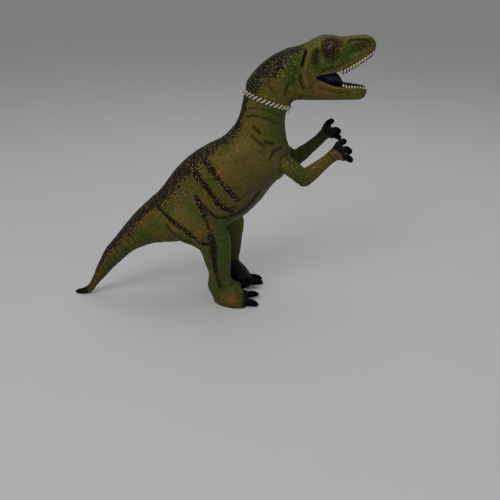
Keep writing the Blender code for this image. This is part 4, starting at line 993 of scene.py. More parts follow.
def finish_head(thing):
    """Brow, cheek and snout ridges, the eye sockets and lids, folds of the neck, and the paint's masks.

    Rings round an eye are bells of the distance from its ball; the dent of the muzzle is (1 - r^2)^0.7 in an oval.
    """
    mesh = thing.data
    edges = neighbours(mesh)
    points = relax(read_points(mesh), edges, 4, 0.5)
    near = right_side(points)
    corner = spot(near, (86, -15, 214), 14) + spot(near, (92, -14, 224), 10)
    points = relax(points, edges, 24, 0.6, np.clip(corner, 0, 1))
    write_points(mesh, points)
    normals = read_normals(mesh)
    lift, crease = press(points, normals, HEAD_RIDGES, 0.12, 1.0, 1.0, 0.0)
    near = right_side(points)
    offset = near - on_skull(MUZZLE_DENT_SHARE, -1)[0]
    slope = np.array([cos(MUZZLE_DENT_SLOPE), 0.0, sin(MUZZLE_DENT_SLOPE)])
    rise = np.array([-sin(MUZZLE_DENT_SLOPE), 0.0, cos(MUZZLE_DENT_SLOPE)])
    oval = (offset @ slope / (MUZZLE_DENT_LENGTH / 2)) ** 2 + (offset @ rise / (MUZZLE_DENT_HEIGHT / 2)) ** 2
    dent = np.clip(1 - oval, 0.0, 1.0) ** 0.7 * (normals[:, 1] * np.sign(points[:, 1]) > 0)
    middle, normal = seam_frame()[:2]
    above = (points - middle) @ normal
    calm = ramp(above, 0.0012, 0.006)
    lip = ramp(points[:, 0], 0.090, 0.100) * ramp(-points[:, 2], -0.250, -0.205)
    centre = eye_centre(-1)
    rim = np.linalg.norm(near - centre, axis=1) - EYE_DIAMETER / 2
    lift += bumps(points, HEAD_BUMPS) * (1 - 0.6 * lip) - MUZZLE_DENT_DEPTH / MM * dent
    lift += 0.8 * bell(rim, 0.0007, 0.0003) - 0.55 * bell(rim, 0.0007, 0.0026)
    points = points + normals * (lift * calm * MM)[:, None]
    side = np.where(points[:, 1] < 0, -1.0, 1.0)
    near = right_side(points)
    rim = np.linalg.norm(near - centre, axis=1) - EYE_DIAMETER / 2
    sunk = np.maximum(near[:, 1], centre[1] - EYE_DIAMETER * 0.10)
    near[:, 1] = np.where(rim < -0.0002, sunk, near[:, 1])
    points = near * np.stack([np.ones(len(near)), -side, np.ones(len(near))], axis=1)
    write_points(mesh, points)
    along, height = body_place(points, smooth_rows(real_stations(SKULL_SHARES, HEAD_WIDTH), 80))
    x, y, z = points.T
    inner = ((x > 0.0958) & (np.abs(y) < np.interp(x, *LINING_WIDTH)) & (z > np.interp(x, *LINING_FLOOR))
             & (z < np.interp(x, *LINING_ROOF)))
    slit = side_stroke(points, normals, SLIT_LINE, 0.9, 0.2)
    # Painted shade in the snout's recess and its dent, and round the eye socket.
    recess = np.maximum(side_stroke(points, normals, RECESS_LINE, 0.9, 0.1), 0.55 * dent)
    ridge = side_stroke(points, normals, ((91.8, 250.3),) + CHEEK_LINE[1:], 1.9, 0.1)
    pale = np.maximum.reduce([0.9 * ridge] + [0.75 * side_stroke(points, normals, path, width, 0.15)
                                              for path, width in PALE_BANDS])
    brow = side_stroke(points, normals, BROW_LINE, 3.0)
    net = 0.82 * ramp(height + 0.10 * noise(points, 0.010, 24), 0.60, 1.0) * (1 - ramp(along, 0.34, 0.47))
    side_net = side_stroke(points, normals, ((66.5, 243), (64.0, 236), (62.0, 231)), 2.2, 0.3)
    net = np.maximum(net, 0.62 * (1 - ramp(along, 0.20, 0.42)) * ramp(height, 0.1, 0.85))
    rear = ramp((centre - near) @ unit(np.array([1.0, 0.0, 0.45])) / EYE_DIAMETER, -0.25, 0.35)
    ring = bell(rim, 0.0008, 0.0015) * (0.30 + 0.40 * rear)
    socket = bell(rim, 0.0014, 0.0024)
    # The lid's thin ring: black paint with a faint pale tint that stands in for the eye's rim highlight, a painted
    # highlight.
    eyelid = bell(rim, 0.0005, 0.0002)
    outer = facing_out(points, normals, -0.2, 0.4)
    # The head's golden scale tops, strong all over, are paint and partly painted glints.
    mark(thing, net=np.maximum(net, side_net) * ramp(above, 0.0, 0.002),
         gold=0.58 + 0.3 * spread(points, ((66, 225, 10), (60, 216, 8), (72, 212, 8))),
         warm=0.70 * spread(points, ((99, 215, 4), (107, 215, 4))) * outer, ochre=spread(points, HEAD_OCHRES),
         fresh=spread(points, HEAD_GREENS) * outer,
         belly=0.6 * ramp(-height, 0.5, 0.95) * (1 - ramp(along, 0.35, 0.5)),
         pale=np.maximum(pale * (1 - socket), 0.12 * eyelid), rust=1.15 * brow + 0.75 * socket,
         black=0.9 * inner + 0.8 * ring + 0.65 * eyelid + 1.2 * slit,
         crease=np.maximum.reduce([crease, recess, 0.45 * socket]) * calm, coarse=1.0 - 0.25 * lip)


# Arms
def arm_joints(side):
    """Joints of the arm's middle line, from the end of its straight root to the end of the palm."""
    seat, axis = shoulder_frame(side)
    out = seat + axis * ARM_ROOT_DIAMETER * ARM_ROOT_SHARE
    mirror = np.array([1.0, side, 1.0])
    elbow = seat + np.array(UPPER_ARM_SHARES) * mirror * UPPER_ARM_REACH
    wrist = elbow + np.array(FOREARM_SHARES) * mirror * FOREARM_REACH
    palm = wrist + np.array(HAND_SHARES) * mirror * PALM_LENGTH
    return seat, axis, out, elbow, wrist, palm


def finger_rows(side, wrist, palm, count):
    """Middle line and radius of each finger, run on through its claw."""
    hand = unit(palm - wrist)
    lift = np.array([-hand[2], 0.0, hand[0]])
    outward = np.array([0.0, side, 0.0])
    girth = np.array(FINGER_GIRTH) * FINGER_DIAMETER
    found = []
    for along, rise, out, first, second in FINGER_SHARES:
        start = palm + (hand * along + lift * rise + outward * out) * FINGER_DIAMETER
        knuckle = start + (hand * cos(first) + lift * sin(first)) * FINGER_LENGTH * 0.5
        tip = knuckle + (hand * cos(second) + lift * sin(second)) * FINGER_LENGTH * 0.5
        inside = start - (knuckle - start) * 0.5
        found.append(smooth_rows(np.column_stack([[inside, start, knuckle, (knuckle + tip) / 2, tip], girth]), count))
    return found, outward


def make_arm_solid(name, side):
    """Round root, plug, upper arm, elbow, forearm, palm and the fleshy part of three fingers.

    Root and plug are turned, upper arm and elbow are capsules, and the rest are ovals swept along curved lines.
    """
    seat, axis, out, elbow, wrist, palm = arm_joints(side)
    thick, thin = ARM_ROOT_DIAMETER / 2, FOREARM_DIAMETER / 2
    up = np.array([-0.35, 0.0, 1.0])
    joint = np.array(ELBOW_SHARES) * thick
    ease = 0.0006
    slim = thick - GAP
    root = disc_rings(seat, axis, ((GAP, slim - ease), (GAP + ease, slim), (ARM_ROOT_DIAMETER * 0.20, slim),
                                   (ARM_ROOT_DIAMETER * 0.30, thick * 0.95), (ARM_ROOT_DIAMETER * 0.42, thick * 0.78),
                                   (ARM_ROOT_DIAMETER * 0.48, thick * 0.40)))
    stem = disc_rings(seat, axis, ((-WALL - GAP - ARM_FLANGE_THICKNESS, ARM_FLANGE_DIAMETER / 2),
                                   (-WALL - GAP, ARM_FLANGE_DIAMETER / 2), (-WALL - GAP, ARM_PLUG_DIAMETER / 2),
                                   (ARM_SEAT_DEPTH, ARM_PLUG_DIAMETER / 2)))
    upper = capsule_rings(out, elbow, ((slim, slim), joint), (0.55, 1.0), up)
    girths = np.array(((0.0, joint[0] / thin, joint[1] / thin),) + FOREARM_GIRTH_SHARES)
    more = np.array(PALM_GIRTH_SHARES)
    rows = smooth_rows(np.concatenate([
        np.column_stack([elbow + (wrist - elbow) * girths[:, :1], girths[:, 1:] * thin]),
        np.column_stack([wrist + (palm - wrist) * more[:, :1], more[:, 1:] * thin])]), 60)
    fore = sweep(rows[:, :3], rows[:, 3], rows[:, 4], 40, up=up)
    ball = capsule_rings(elbow - unit(wrist - elbow) * 1e-4, elbow, (joint, joint), (1.0, 1.0), up, count=4)
    fingers, outward = finger_rows(side, wrist, palm, 24)
    grids = [sweep(rows[:16, :3], rows[:16, 3], rows[:16, 3], 20, up=outward) for rows in fingers]
    return blend_solids(gather(name, [root, stem, upper, ball, fore] + grids), ARM_GRID)


def raised(points, side):
    """The left arm's points turned up about its shoulder's axis."""
    if side < 0:
        return points
    seat, axis = shoulder_frame(side)
    spin = np.array(Matrix.Rotation(-LEFT_ARM_RAISE * side, 3, Vector(axis)))
    return (points - seat) @ spin.T + seat


def finish_arm(thing, side):
    """Muscles, skin folds at the elbow and wrist, and the paint's masks on one arm.

    The folds are |wave|^4 of the way along the forearm, under bells at the elbow and wrist.
    """
    seat, axis, _, elbow, wrist, palm = arm_joints(side)
    mesh = thing.data
    points = read_points(mesh)
    distance = (points - seat) @ axis
    keep = ramp(distance, 0.0030, 0.0060)
    points = relax(points, neighbours(mesh), 10, 0.5, keep)
    write_points(mesh, points)
    normals = read_normals(mesh)
    along = (points - elbow) @ unit(wrist - elbow) / np.linalg.norm(wrist - elbow)
    folds = np.abs(((along * 9 + 0.4 * noise(points, 0.004, 33)) % 1.0) - 0.5) * 2
    # The folds at the elbow and wrist: pressed in, and darkened as painted shade.
    crease = np.clip(folds ** 4 * (bell(along, 0.16, 0.95) + bell(along, 0.14)), 0, 1)
    muscle = bell(along, 0.16, 0.30) * ramp(-(normals @ unit(np.array([0.6, 0, 1.0]))), -0.2, 0.8)
    lift = bumps(points, ARM_BUMPS) - 0.34 * crease + 0.45 * muscle
    points = points + normals * (lift * keep * MM)[:, None]
    hand = (points - wrist) @ unit(palm - wrist) / PALM_LENGTH
    at_elbow = spot(points, elbow / MM + np.array([-1.0, 0.0, 1.0]), 8)
    if side > 0:
        pull = bell(np.linalg.norm(points - elbow, axis=1), LEFT_ELBOW_WIDTH) * keep
        points = points + pull[:, None] * np.array(LEFT_ELBOW_PULL)
    write_points(mesh, raised(points, side))
    top = ramp(normals[:, 2] * 0.8 - normals[:, 0] * 0.6, 0.2, 0.9)
    low = ramp(-normals[:, 2], 0.1, 0.9)
    root = ramp(distance, 0.0045, 0.0125)
    forearm = ramp(along, 0.05, 0.35)
    upper = (1 - forearm) * keep
    # Painted shade: the far arm gets more net, green, belly and shade colour, a blacker hand, and loses its golden,
    # warm and ochre paint.
    far_shade = 1.0 if side > 0 else 0.0
    # Black paint on the hand and fingers, more on their tops; the far hand's extra black is painted shade.
    black_hand_and_far_shade = ramp(hand + 0.16 * noise(points, 0.003, 34) + 0.35 * top + 0.3 * far_shade, 0.35, 0.75)
    ochre = (0.35 + 0.55 * root) * upper * (1 - 0.6 * low) + 0.45 * forearm * (1 - low)
    mark(thing, net=(0.30 + 0.35 * far_shade) * (0.30 * forearm + 0.30 * top * forearm + 0.25 * upper * low),
         gold=np.clip(upper * (1 - low) + 0.80 * forearm, 0, 1) * (1 - 0.9 * far_shade) * (0.25 + 0.75 * root),
         warm=0.30 * bell(along, 0.2, 0.5) * (1 - low) * (1 - far_shade), ochre=np.clip(ochre, 0, 1) * (1 - far_shade),
         fresh=1.3 * at_elbow + 0.3 * low + 0.3 * upper + 0.7 * far_shade, belly=0.35 * low + 0.5 * far_shade, pale=0.0,
         rust=0.4 * ramp(hand, -0.6, 0.4) * low, black=0.95 * black_hand_and_far_shade, crease=crease + 0.50 * far_shade, coarse=0.9)


def make_finger_claws(name, side):
    """The blunt tips of the three fingers: the finger's line with a radius that closes in a rounded end."""
    wrist, palm = arm_joints(side)[-2:]
    grids = []
    fingers, outward = finger_rows(side, wrist, palm, 60)
    for rows in fingers:
        part = rows[24:]
        share = np.linspace(0.0, 1.0, len(part))
        girth = FINGER_DIAMETER / 2 * np.interp(share, *FINGER_CLAW_GIRTH)
        grids.append(sweep(part[:, :3], girth, girth * 0.94, 24, up=outward))
    thing = gather(name, grids)
    points = read_points(thing.data)
    points += read_normals(thing.data) * (0.00016 * noise(points, 0.0022, 35))[:, None]
    write_points(thing.data, raised(points, side))
    return thing


def make_toe_claws(name, side):
    """Three blunt claws: a line arched by a sine, with an oval girth that runs out to a rounded point."""
    grids = []
    for root, tip, _, thick in claw_places(side):
        share = np.linspace(0.0, 1.0, 44)
        path = root + (tip - root) * share[:, None]
        path[:, 2] += 0.0010 * np.sin(pi * share) - 0.0004 * share ** 3
        girth = thick / 2 * np.interp(share, *TOE_CLAW_GIRTH)
        tall = np.minimum(girth, np.maximum(path[:, 2] - GAP, GAP))
        grids.append(sweep(path, tall, girth, 28))
    return gather(name, grids)


# Stitching
def thread_rings():
    """One whip-stitched thread: an oval coil round the seam's two rims, with a two-ply twist as its section.

    Along the coil the ring's angle grows evenly while the thread swings out and in by a rounded square wave.
    """
    steps = STITCH_COUNT * STITCH_RINGS
    turn = np.arange(steps) / steps
    phase = turn * STITCH_COUNT * 2 * pi
    radius = THREAD_DIAMETER * 0.78
    share = STITCH_REACH / (SEAM_GROOVE_WIDTH / 2)
    outer = SEAM_GROOVE_DEPTH * (1 - share) - radius * 0.9
    inner = WALL + GAP * 2 + radius
    square = np.clip(np.cos(phase) * 1.6, -1, 1)
    inset = (outer + inner) / 2 - (inner - outer) / 2 * square
    inset -= 0.0002 * np.maximum(np.cos(phase), 0)
    distance = STITCH_REACH * 1.08 * np.sin(phase)
    angle = even_angles((turn + 0.25 / STITCH_COUNT * np.sin(phase) * 0.6) % 1.0)
    path = seam_points(angle, distance, inset)[0]
    core = seam_points(even_angles(turn), 0.0, (outer + inner) / 2)[0]
    tangents = unit(np.roll(path, -1, axis=0) - np.roll(path, 1, axis=0))
    away = path - core
    rise = unit(away - tangents * np.einsum("ij,ij->i", away, tangents)[:, None])
    across = np.cross(tangents, rise)
    walked = np.cumsum(np.linalg.norm(path - np.roll(path, 1, axis=0), axis=1))
    twists = round(walked[-1] / TWIST_LENGTH)
    ply = turns(THREAD_SIDES)[None] - (pi * twists * walked / walked[-1])[:, None]
    girth = radius * (0.86 + 0.20 * np.abs(np.cos(ply)))
    return ring_points(path, rise, across, girth, girth, THREAD_SIDES)


def make_stitching():
    """The coiled thread, and its loose end at the throat as a short drooping sweep."""
    normal = seam_frame()[1]
    throat, out = seam_points(np.array([0.32]), 0.0, 0.0)
    start, out = throat[0] * np.array([1, -1, 1]), out[0] * np.array([1, -1, 1])
    end = smooth_rows([start + out * away + normal * up + np.array([ahead, 0, 0])
                       for away, up, ahead in LOOSE_END], 30)
    girth = THREAD_DIAMETER / 2 * np.interp(np.linspace(0, 1, 30), [0, 0.85, 1], [0.85, 0.85, 0.6])
    tail = sweep(end, girth, girth, 12, up=(0.3, 1.0, 0.1))
    return gather("whip_stitching", [thread_rings(), tail], closed=(0,))


# Eyes, teeth and tongue
def globe(centre, radius, axis, count=48):
    """Rings of a ball about an axis: radius times sine and cosine of even steps from pole to pole."""
    lean = np.linspace(0.004, pi - 0.004, count)
    marks = tuple((-radius * cos(a), radius * sin(a)) for a in lean)
    return disc_rings(centre, axis, marks, 56)


def lip_path(upper, count):
    """The gum line of one jaw, from the right end of its row of teeth round the front to the left one.

    It runs inside the jaw's edge at the height tall (1 - (1 - r^n)^(1/n)) of its section, with r the share of the
    half width there, and is evened out by rounds of (before + 2 here + after) / 4.
    """
    if upper:
        rows, place, power = smooth_rows(real_stations(SKULL_SHARES, HEAD_WIDTH)[7:], 60), 2, 4.2
    else:
        rows, place, power = smooth_rows(real_stations(JAW_SHARES, JAW_WIDTH)[5:], 60), 0, 4.0
    edge = np.column_stack([rows[:, place], rows[:, 4] - MOUTH_LIP * GUM_INSET_SHARE, rows[:, place + 1]])
    start = TOOTH_ROW_SHARES[0 if upper else 1] * LENGTH
    tall = np.hypot(rows[:, 0] - rows[:, 2], rows[:, 1] - rows[:, 3]) / 2
    ratio = np.clip(edge[:, 1] / rows[:, 4], 0.0, 1.0)
    rise = tall * (1 - (1 - ratio**power) ** (1 / power)) + GUM_DIAMETER * GUM_SINK_SHARE
    edge[:, 2] += rise if upper else -rise
    front = edge[-1, 0] - MOUTH_LIP * GUM_INSET_SHARE
    edge = edge[(edge[:, 0] > start) & (edge[:, 0] < front) & (edge[:, 1] > MOUTH_LIP / 2)]
    walked = np.linalg.norm(edge - edge[0], axis=1)
    edge[:, 1] -= MOUTH_LIP * GUM_TUCK_SHARE * np.exp(-walked / TOOTH_PITCH)
    path = smooth_rows(np.concatenate([edge * np.array([1, -1, 1]), edge[::-1]]), count)
    for _ in range(3 + count // 6):
        path[1:-1] = (path[:-2] + path[1:-1] * 2 + path[2:]) / 4
    return path


def make_teeth(name, upper):
    """Pointed teeth in a close row on a gum: each leans back as its two half sizes run out by 1 - t^1.5."""
    path = lip_path(upper, 120)
    length_share, girth_share, pitch_share, gum_drop, gum_height = TOOTH_STYLES[upper]
    down = np.array([0.0, 0.0, -1.0 if upper else 1.0])
    radius = GUM_DIAMETER / 2
    way = np.linspace(0, 1, len(path))
    swell = 1 + 0.05 * np.cos(way * 2 * pi * 27)
    ends = np.interp(way, [0, 0.02, 0.98, 1], [0.3, 1, 1, 0.3])
    grids = [sweep(path + down * gum_drop, gum_height * swell * ends, radius * 0.6 * swell * ends, 16)]
    tangents = unit(np.gradient(path, axis=0) * np.array([1.0, 1.0, 0.0]))
    walked = walk(path)[1]
    count = int(walked[-1] / (TOOTH_PITCH * pitch_share))
    margin = TOOTH_PITCH * 0.45
    share = np.linspace(0.0, 1.0, 14)
    for number, place in enumerate(np.linspace(margin, walked[-1] - margin, count)):
        root, ahead = (np.array([np.interp(place, walked, rows[:, axis]) for axis in range(3)])
                       for rows in (path, tangents))
        ahead = unit(ahead)
        across = np.cross(ahead, down)
        away = across * (1 if across @ (root - np.array([MOUTH_MIDDLE, 0.0, root[2]])) > 0 else -1)
        middle = 1 - abs(2 * number / (count - 1) - 1)
        length = TOOTH_LENGTH * length_share * (0.80 + 0.24 * sin(pi * min(1.0, 0.2 + middle)))
        length *= 1 + 0.10 * sin(number * 2.4)
        back = np.array([-TOOTH_LEAN, 0.0, 0.0]) * length
        line = (root + away * TOOTH_STAND + down * (radius * 0.2 + (length + radius * 0.8) * share[:, None])
                + back * (share ** 2)[:, None])
        girth = TOOTH_PITCH * girth_share * (1 - share ** 1.5) + 0.00014
        grids.append(ring_points(line, ahead[None], across[None], girth, girth * 0.72, 16))
    row = gather(name, grids)
    mark(row, gum=np.arange(len(row.data.vertices)) < grids[0].shape[0] * grids[0].shape[1])
    return row


def make_tongue():
    """A thick tongue swept along its table, arched by a bell, with a furrow pressed down its middle."""
    table = smooth_rows(TONGUE_SHARES, 70)
    centre, width, rise, swell = TONGUE_ARCH
    arch = bell(table[:, 0], width, centre)
    table[:, 1] += rise * arch
    table[:, 2] += swell * arch
    path = np.column_stack([table[:, 0] * LENGTH, np.zeros(len(table)), table[:, 1] * HEIGHT])
    rings = sweep(path, table[:, 2] * TONGUE_THICKNESS, table[:, 3] * TONGUE_WIDTH, 48)
    top = ramp(rings[..., 2] - path[:, None, 2], 0.0, 0.002)
    rings[..., 2] -= 0.0007 * bell(rings[..., 1], 0.0011) * top
    points = rings.reshape(-1, 3)
    points[:, 2] += (0.00012 * noise(points, 0.0018, 41)) * (points[:, 2] > np.repeat(path[:, 2], 48))
    thing = gather("violet_tongue", [points.reshape(rings.shape)])
    mark(thing, black=ramp(read_points(thing.data)[:, 0], 0.1125, 0.1155))
    return thing


# Stuffing
def make_stuffing():
    """Lumpy fibre inside the skins: the body's and neck's ovals drawn in, then pushed about by noise."""
    rows = real_stations(TORSO_SHARES, TORSO_WIDTH)
    tail = real_stations(TAIL_SHARES, TAIL_WIDTH)
    rows = np.concatenate([rows, tail[tail[:, 0] > -0.385 * LENGTH]])[::-1]
    head = real_stations(SKULL_SHARES, HEAD_WIDTH)
    head = head[head[:, 0] < 0.275 * LENGTH]
    stations = smooth_rows(np.concatenate([rows, [seam_ring(0.0, 0.0)], head]), 170)[2:-2]
    middle, normal = seam_frame()[:2]
    centre = np.column_stack([(stations[:, 0] + stations[:, 2]) / 2, np.zeros(len(stations)),
                              (stations[:, 1] + stations[:, 3]) / 2])
    near = bell((centre - middle) @ normal, 0.006)
    inset = WALL + GAP * 4 + (THREAD_DIAMETER + GAP * 4) * near
    stations[:, 4] = np.maximum(stations[:, 4] - inset, 0.002)
    back, belly = stations[:, [0, 1]], stations[:, [2, 3]]
    axis = unit(back - belly) * inset[:, None]
    stations[:, [0, 1]], stations[:, [2, 3]] = back - axis, belly + axis
    grids = [ovals(stations, 90)]
    for side in (-1, 1):
        legs = leg_stations(side, 60)
        legs = legs[(legs[:, 1] > 0.17 * HEIGHT)]
        grids.append(ovals(legs, 40, inset=WALL + GAP * 5, middle_y=side * legs[:, 5], upper=2.3, lower=2.1))
    thing = blend_solids(gather("loose_fibre", grids), FIBRE_GRID)
    mesh = thing.data
    points = read_points(mesh)
    lump = 0.5 + 0.5 * noise(points, 0.011, 51)
    tuft = np.abs(noise(points, 0.0042, 52))
    points = points - read_normals(mesh) * ((0.0012 * lump + 0.0010 * tuft)[:, None])
    deep = WALL + GAP + ARM_FLANGE_THICKNESS + GAP * 3
    for side in (-1, 1):
        seat, axis = shoulder_frame(side)
        out, _, away = about_axis(points, seat, axis)
        inside = (away < ARM_ROOT_DIAMETER / 2 + WALL) & (out > -deep)
        points = np.where(inside[:, None], points - (out + deep)[:, None] * axis, points)
    write_points(mesh, points)
    return thing


# Shader maths
class Socket:
    """A socket whose arithmetic adds Math nodes."""

    def __init__(self, build, socket):
        self.build, self.socket = build, socket

    def maths(self, operation, *values):
        """One Math node."""
        return self.build.node('ShaderNodeMath', {"operation": operation}, dict(enumerate(values)))

    def __add__(self, other):
        return self.maths('ADD', self, other)

    def __mul__(self, other):
        return self.maths('MULTIPLY', self, other)

    def __sub__(self, other):
        return self.maths('SUBTRACT', self, other)

    def __rsub__(self, other):
        return self.maths('SUBTRACT', other, self)

    __radd__ = __add__
    __rmul__ = __mul__

    def least(self, other):
        """The smaller of the two."""
        return self.maths('MINIMUM', self, other)


class Finish:
    """One material's node tree, with its uniform values set on the shader."""

    def __init__(self, name, **uniform):
        self.material = bpy.data.materials.new(name)
        self.material.use_nodes = True
        self.tree = self.material.node_tree
        self.shader = self.tree.nodes["Principled BSDF"]
        self.use(**uniform)

    def node(self, kind, settings=None, inputs=None, output=0):
        """A node of a kind, its settings made first, then the values or links of its sockets."""
        node = self.tree.nodes.new(kind)
        for key, value in (settings or {}).items():
            setattr(node, key, value)
        for key, value in (inputs or {}).items():
            self.feed(node.inputs[key], value)
        return Socket(self, node.outputs[output])

    def feed(self, socket, value):
        """A link or a plain value for a socket."""
        if isinstance(value, Socket):
            self.tree.links.new(value.socket, socket)
        elif socket.type == 'RGBA':
            socket.default_value = (*tuple(value)[:3], 1.0)
        else:
            socket.default_value = value

    def place(self):
        """Places in the object's own frame."""
        return self.node('ShaderNodeTexCoord', output=3)

    def mask(self, name):
        """One of the masks that mark wrote on the mesh."""
        return self.node('ShaderNodeAttribute', {"attribute_type": 'GEOMETRY', "attribute_name": name}, output=2)

    def noise(self, place, size, detail=3.0):
        """Clouds from 0 to 1 with lumps of a size."""
        return self.node('ShaderNodeTexNoise', {"noise_dimensions": '3D'},
                         {"Vector": place, "Scale": 1 / size, "Detail": detail, "Roughness": 0.55})

    def cells(self, place, size, feature='F1', output=0):
        """Cells of a size: the distance to the nearest one's middle, or another reading of them."""
        return self.node('ShaderNodeTexVoronoi', {"feature": feature}, {"Vector": place, "Scale": 1 / size}, output)

    def between(self, value, low, high):
        """Smoothstep from 0 at low to 1 at high."""
        return self.node('ShaderNodeMapRange', {"interpolation_type": 'SMOOTHSTEP'},
                         {"Value": value, "From Min": low, "From Max": high, "To Min": 0.0, "To Max": 1.0})

    def mix(self, share, first, second):
        """first + share (second - first), with the share held from 0 to 1."""
        return self.node('ShaderNodeMix', {"data_type": 'RGBA', "blend_type": 'MIX', "clamp_factor": True},
                         {0: share, 6: first, 7: second}, 2)

    def bump(self, height, distance, strength):
        """Normals tilted as by a relief as high as the height times the distance."""
        return self.node('ShaderNodeBump', {}, {"Height": height, "Distance": distance, "Strength": strength})

    def use(self, **sockets):
        """Values or links of the shader's sockets, with the material given back."""
        for key, value in sockets.items():
            self.feed(self.shader.inputs[key.replace("_", " ")], value)
        return self.material


def wear(thing, material):
    """The object with one material."""
    thing.data.materials.clear()
    thing.data.materials.append(material)
    return thing


# Finishes
def vinyl(name, look, base, tips, pebble):
    """Painted soft vinyl: pebbled scales, golden where they stand proud, partly as painted glints, under airbrushed
    patches and a dark net, with painted shade between the scales and in the creases.

    With d the distance to the middle of a scale in scale widths, the net covers where 1.3 d + 1.05 cover > 1.
    """
    f = Finish(name, Specular_IOR_Level=0.16, Coat_Roughness=0.25)
    place = f.place()
    net, gold, warm, fresh, ochre, belly, pale, rust, black, crease, coarse = (f.mask(mask) for mask in (
        "net", "gold", "warm", "fresh", "ochre", "belly", "pale", "rust", "black", "crease", "coarse"))
    wander = f.noise(place, 0.0045, 2.0)
    bent = f.node('ShaderNodeVectorMath', {"operation": 'ADD'}, {
        0: place, 1: f.node('ShaderNodeVectorMath', {"operation": 'SCALE'}, {
            0: f.node('ShaderNodeTexNoise', {"noise_dimensions": '3D'}, {"Vector": place, "Scale": 1 / 0.003},
                      output=1), "Scale": pebble * 0.5})})
    near = f.cells(bent, pebble)
    luck = f.node('ShaderNodeSeparateColor', {}, {"Color": f.cells(bent, pebble, output=1)})
    edge = f.cells(bent, pebble, 'DISTANCE_TO_EDGE')
    fine = f.cells(place, pebble * 0.42)
    blotch = f.noise(place, 0.014, 3.0)
    patch = f.noise(place, 0.032, 2.0)
    # Painted glints: clumps where more scale tops light up.
    glint_clump = f.between(f.noise(place, 0.008, 2.0), 0.40, 0.66)
    hue = f.mix(f.between(patch, 0.35, 0.68) * 0.5, base, look.ochre)
    hue = f.mix((ochre * (0.55 + blotch * 0.6)).least(1.0) * 0.8, hue, look.ochre)
    hue = f.mix(f.between(blotch, 0.45, 0.70) * 0.30, hue, look.green)
    hue = f.mix(belly * 0.75, hue, look.belly)
    for mask, least, swing, most, colour_there in (
            (fresh, 0.50, blotch * 0.9, 0.85, look.green), (warm, 0.30, wander * 1.2, 0.8, look.orange),
            (pale, 0.55, wander * 0.9, 0.9, look.pale), (rust, 0.50, wander * 0.9, 0.9, look.rust)):
        hue = f.mix((mask * (least + swing)).least(1.0) * most, hue, colour_there)
    hue = f.mix(f.between(net + wander * 0.25, 0.35, 1.0) * 0.80, hue, look.net)
    # Painted shade between the scales, stronger where the scales are coarse, and in the folds, rings and recesses that
    # the crease mask marks.
    scale_gap_shade = (1 - f.between(edge, 0.0, 0.20)) * (0.22 + coarse * 0.35)
    hue = f.mix((scale_gap_shade + crease * 0.85).least(0.92), hue, look.shade)
    cover = (net * (0.78 + wander * 0.45)).least(1.1)
    ink = f.between(near * 1.3 + cover * 1.05 + luck * 0.10 - 0.05, 1.0, 1.25) * f.between(net, 0.04, 0.35)
    hue = f.mix((ink * 0.95).least(1.0), hue, look.net)
    # Golden scale tops: dry-brushed paint and partly painted glints, dimmed in the painted shade of the creases and on
    # the belly.
    lucky = f.mix(net, luck * luck * 1.25, f.between(luck, 0.40, 0.90))
    dot = (1 - f.between(near, 0.16, 0.50)) * lucky
    bright = f.mix((warm * 0.9 + net * gold * 0.25).least(1.0), tips, look.orange_dots)
    dot_and_glint_strength = (0.04 + glint_clump * 0.22 + gold * 0.55 + net * gold * 0.40) * (1 - crease * 0.9) * (1 - belly * 0.6)
    hue = f.mix((dot * dot_and_glint_strength).least(1.0), hue, bright)
    solid = f.between(black + wander * 0.3, 0.45, 0.75)
    hue = f.mix(solid * 0.97, hue, look.black)
    raised = f.between(edge, 0.05, 0.32)
    height = raised * coarse + fine * 0.16 + f.noise(place, 0.0011, 2.0) * 0.25
    normal = f.bump(height, 0.00055, 0.9)
    rough = 0.50 - raised * 0.12 + wander * 0.10 - solid * 0.16
    return f.use(Base_Color=hue, Roughness=rough, Coat_Weight=raised * 0.06, Normal=normal)


def claw_finish(look):
    """Black enamel, worn brown in patches."""
    f = Finish("claw_enamel", Coat_Roughness=0.25, Specular_IOR_Level=0.06)
    place = f.place()
    worn = f.between(f.noise(place, 0.0035, 4.0), 0.60, 0.78)
    streak = f.noise(place, 0.0009, 2.0)
    hue = f.mix(worn * 0.35, look.black, look.claw_wear)
    return f.use(Base_Color=hue, Roughness=0.40 + streak * 0.16, Coat_Weight=0.02 + worn * 0.1,
                 Normal=f.bump(f.noise(place, 0.0016, 3.0) + streak * 0.4, 0.00018, 0.7))


def thread_finish(look):
    """Cream cotton: fine fibres and a soiled shade between the plies."""
    f = Finish("cotton_thread", Sheen_Weight=0.25, Specular_IOR_Level=0.25)
    place = f.place()
    fibre = f.noise(place, 0.00022, 4.0)
    soil = f.noise(place, 0.004, 2.0)
    hue = f.mix(f.between(soil, 0.42, 0.75) * 0.35, look.thread, look.thread_soil)
    hue = f.mix(f.between(fibre, 0.35, 0.6) * 0.30, look.thread_soil, hue)
    return f.use(Base_Color=hue, Roughness=0.72 + fibre * 0.2, Normal=f.bump(fibre, 0.00012, 0.9))


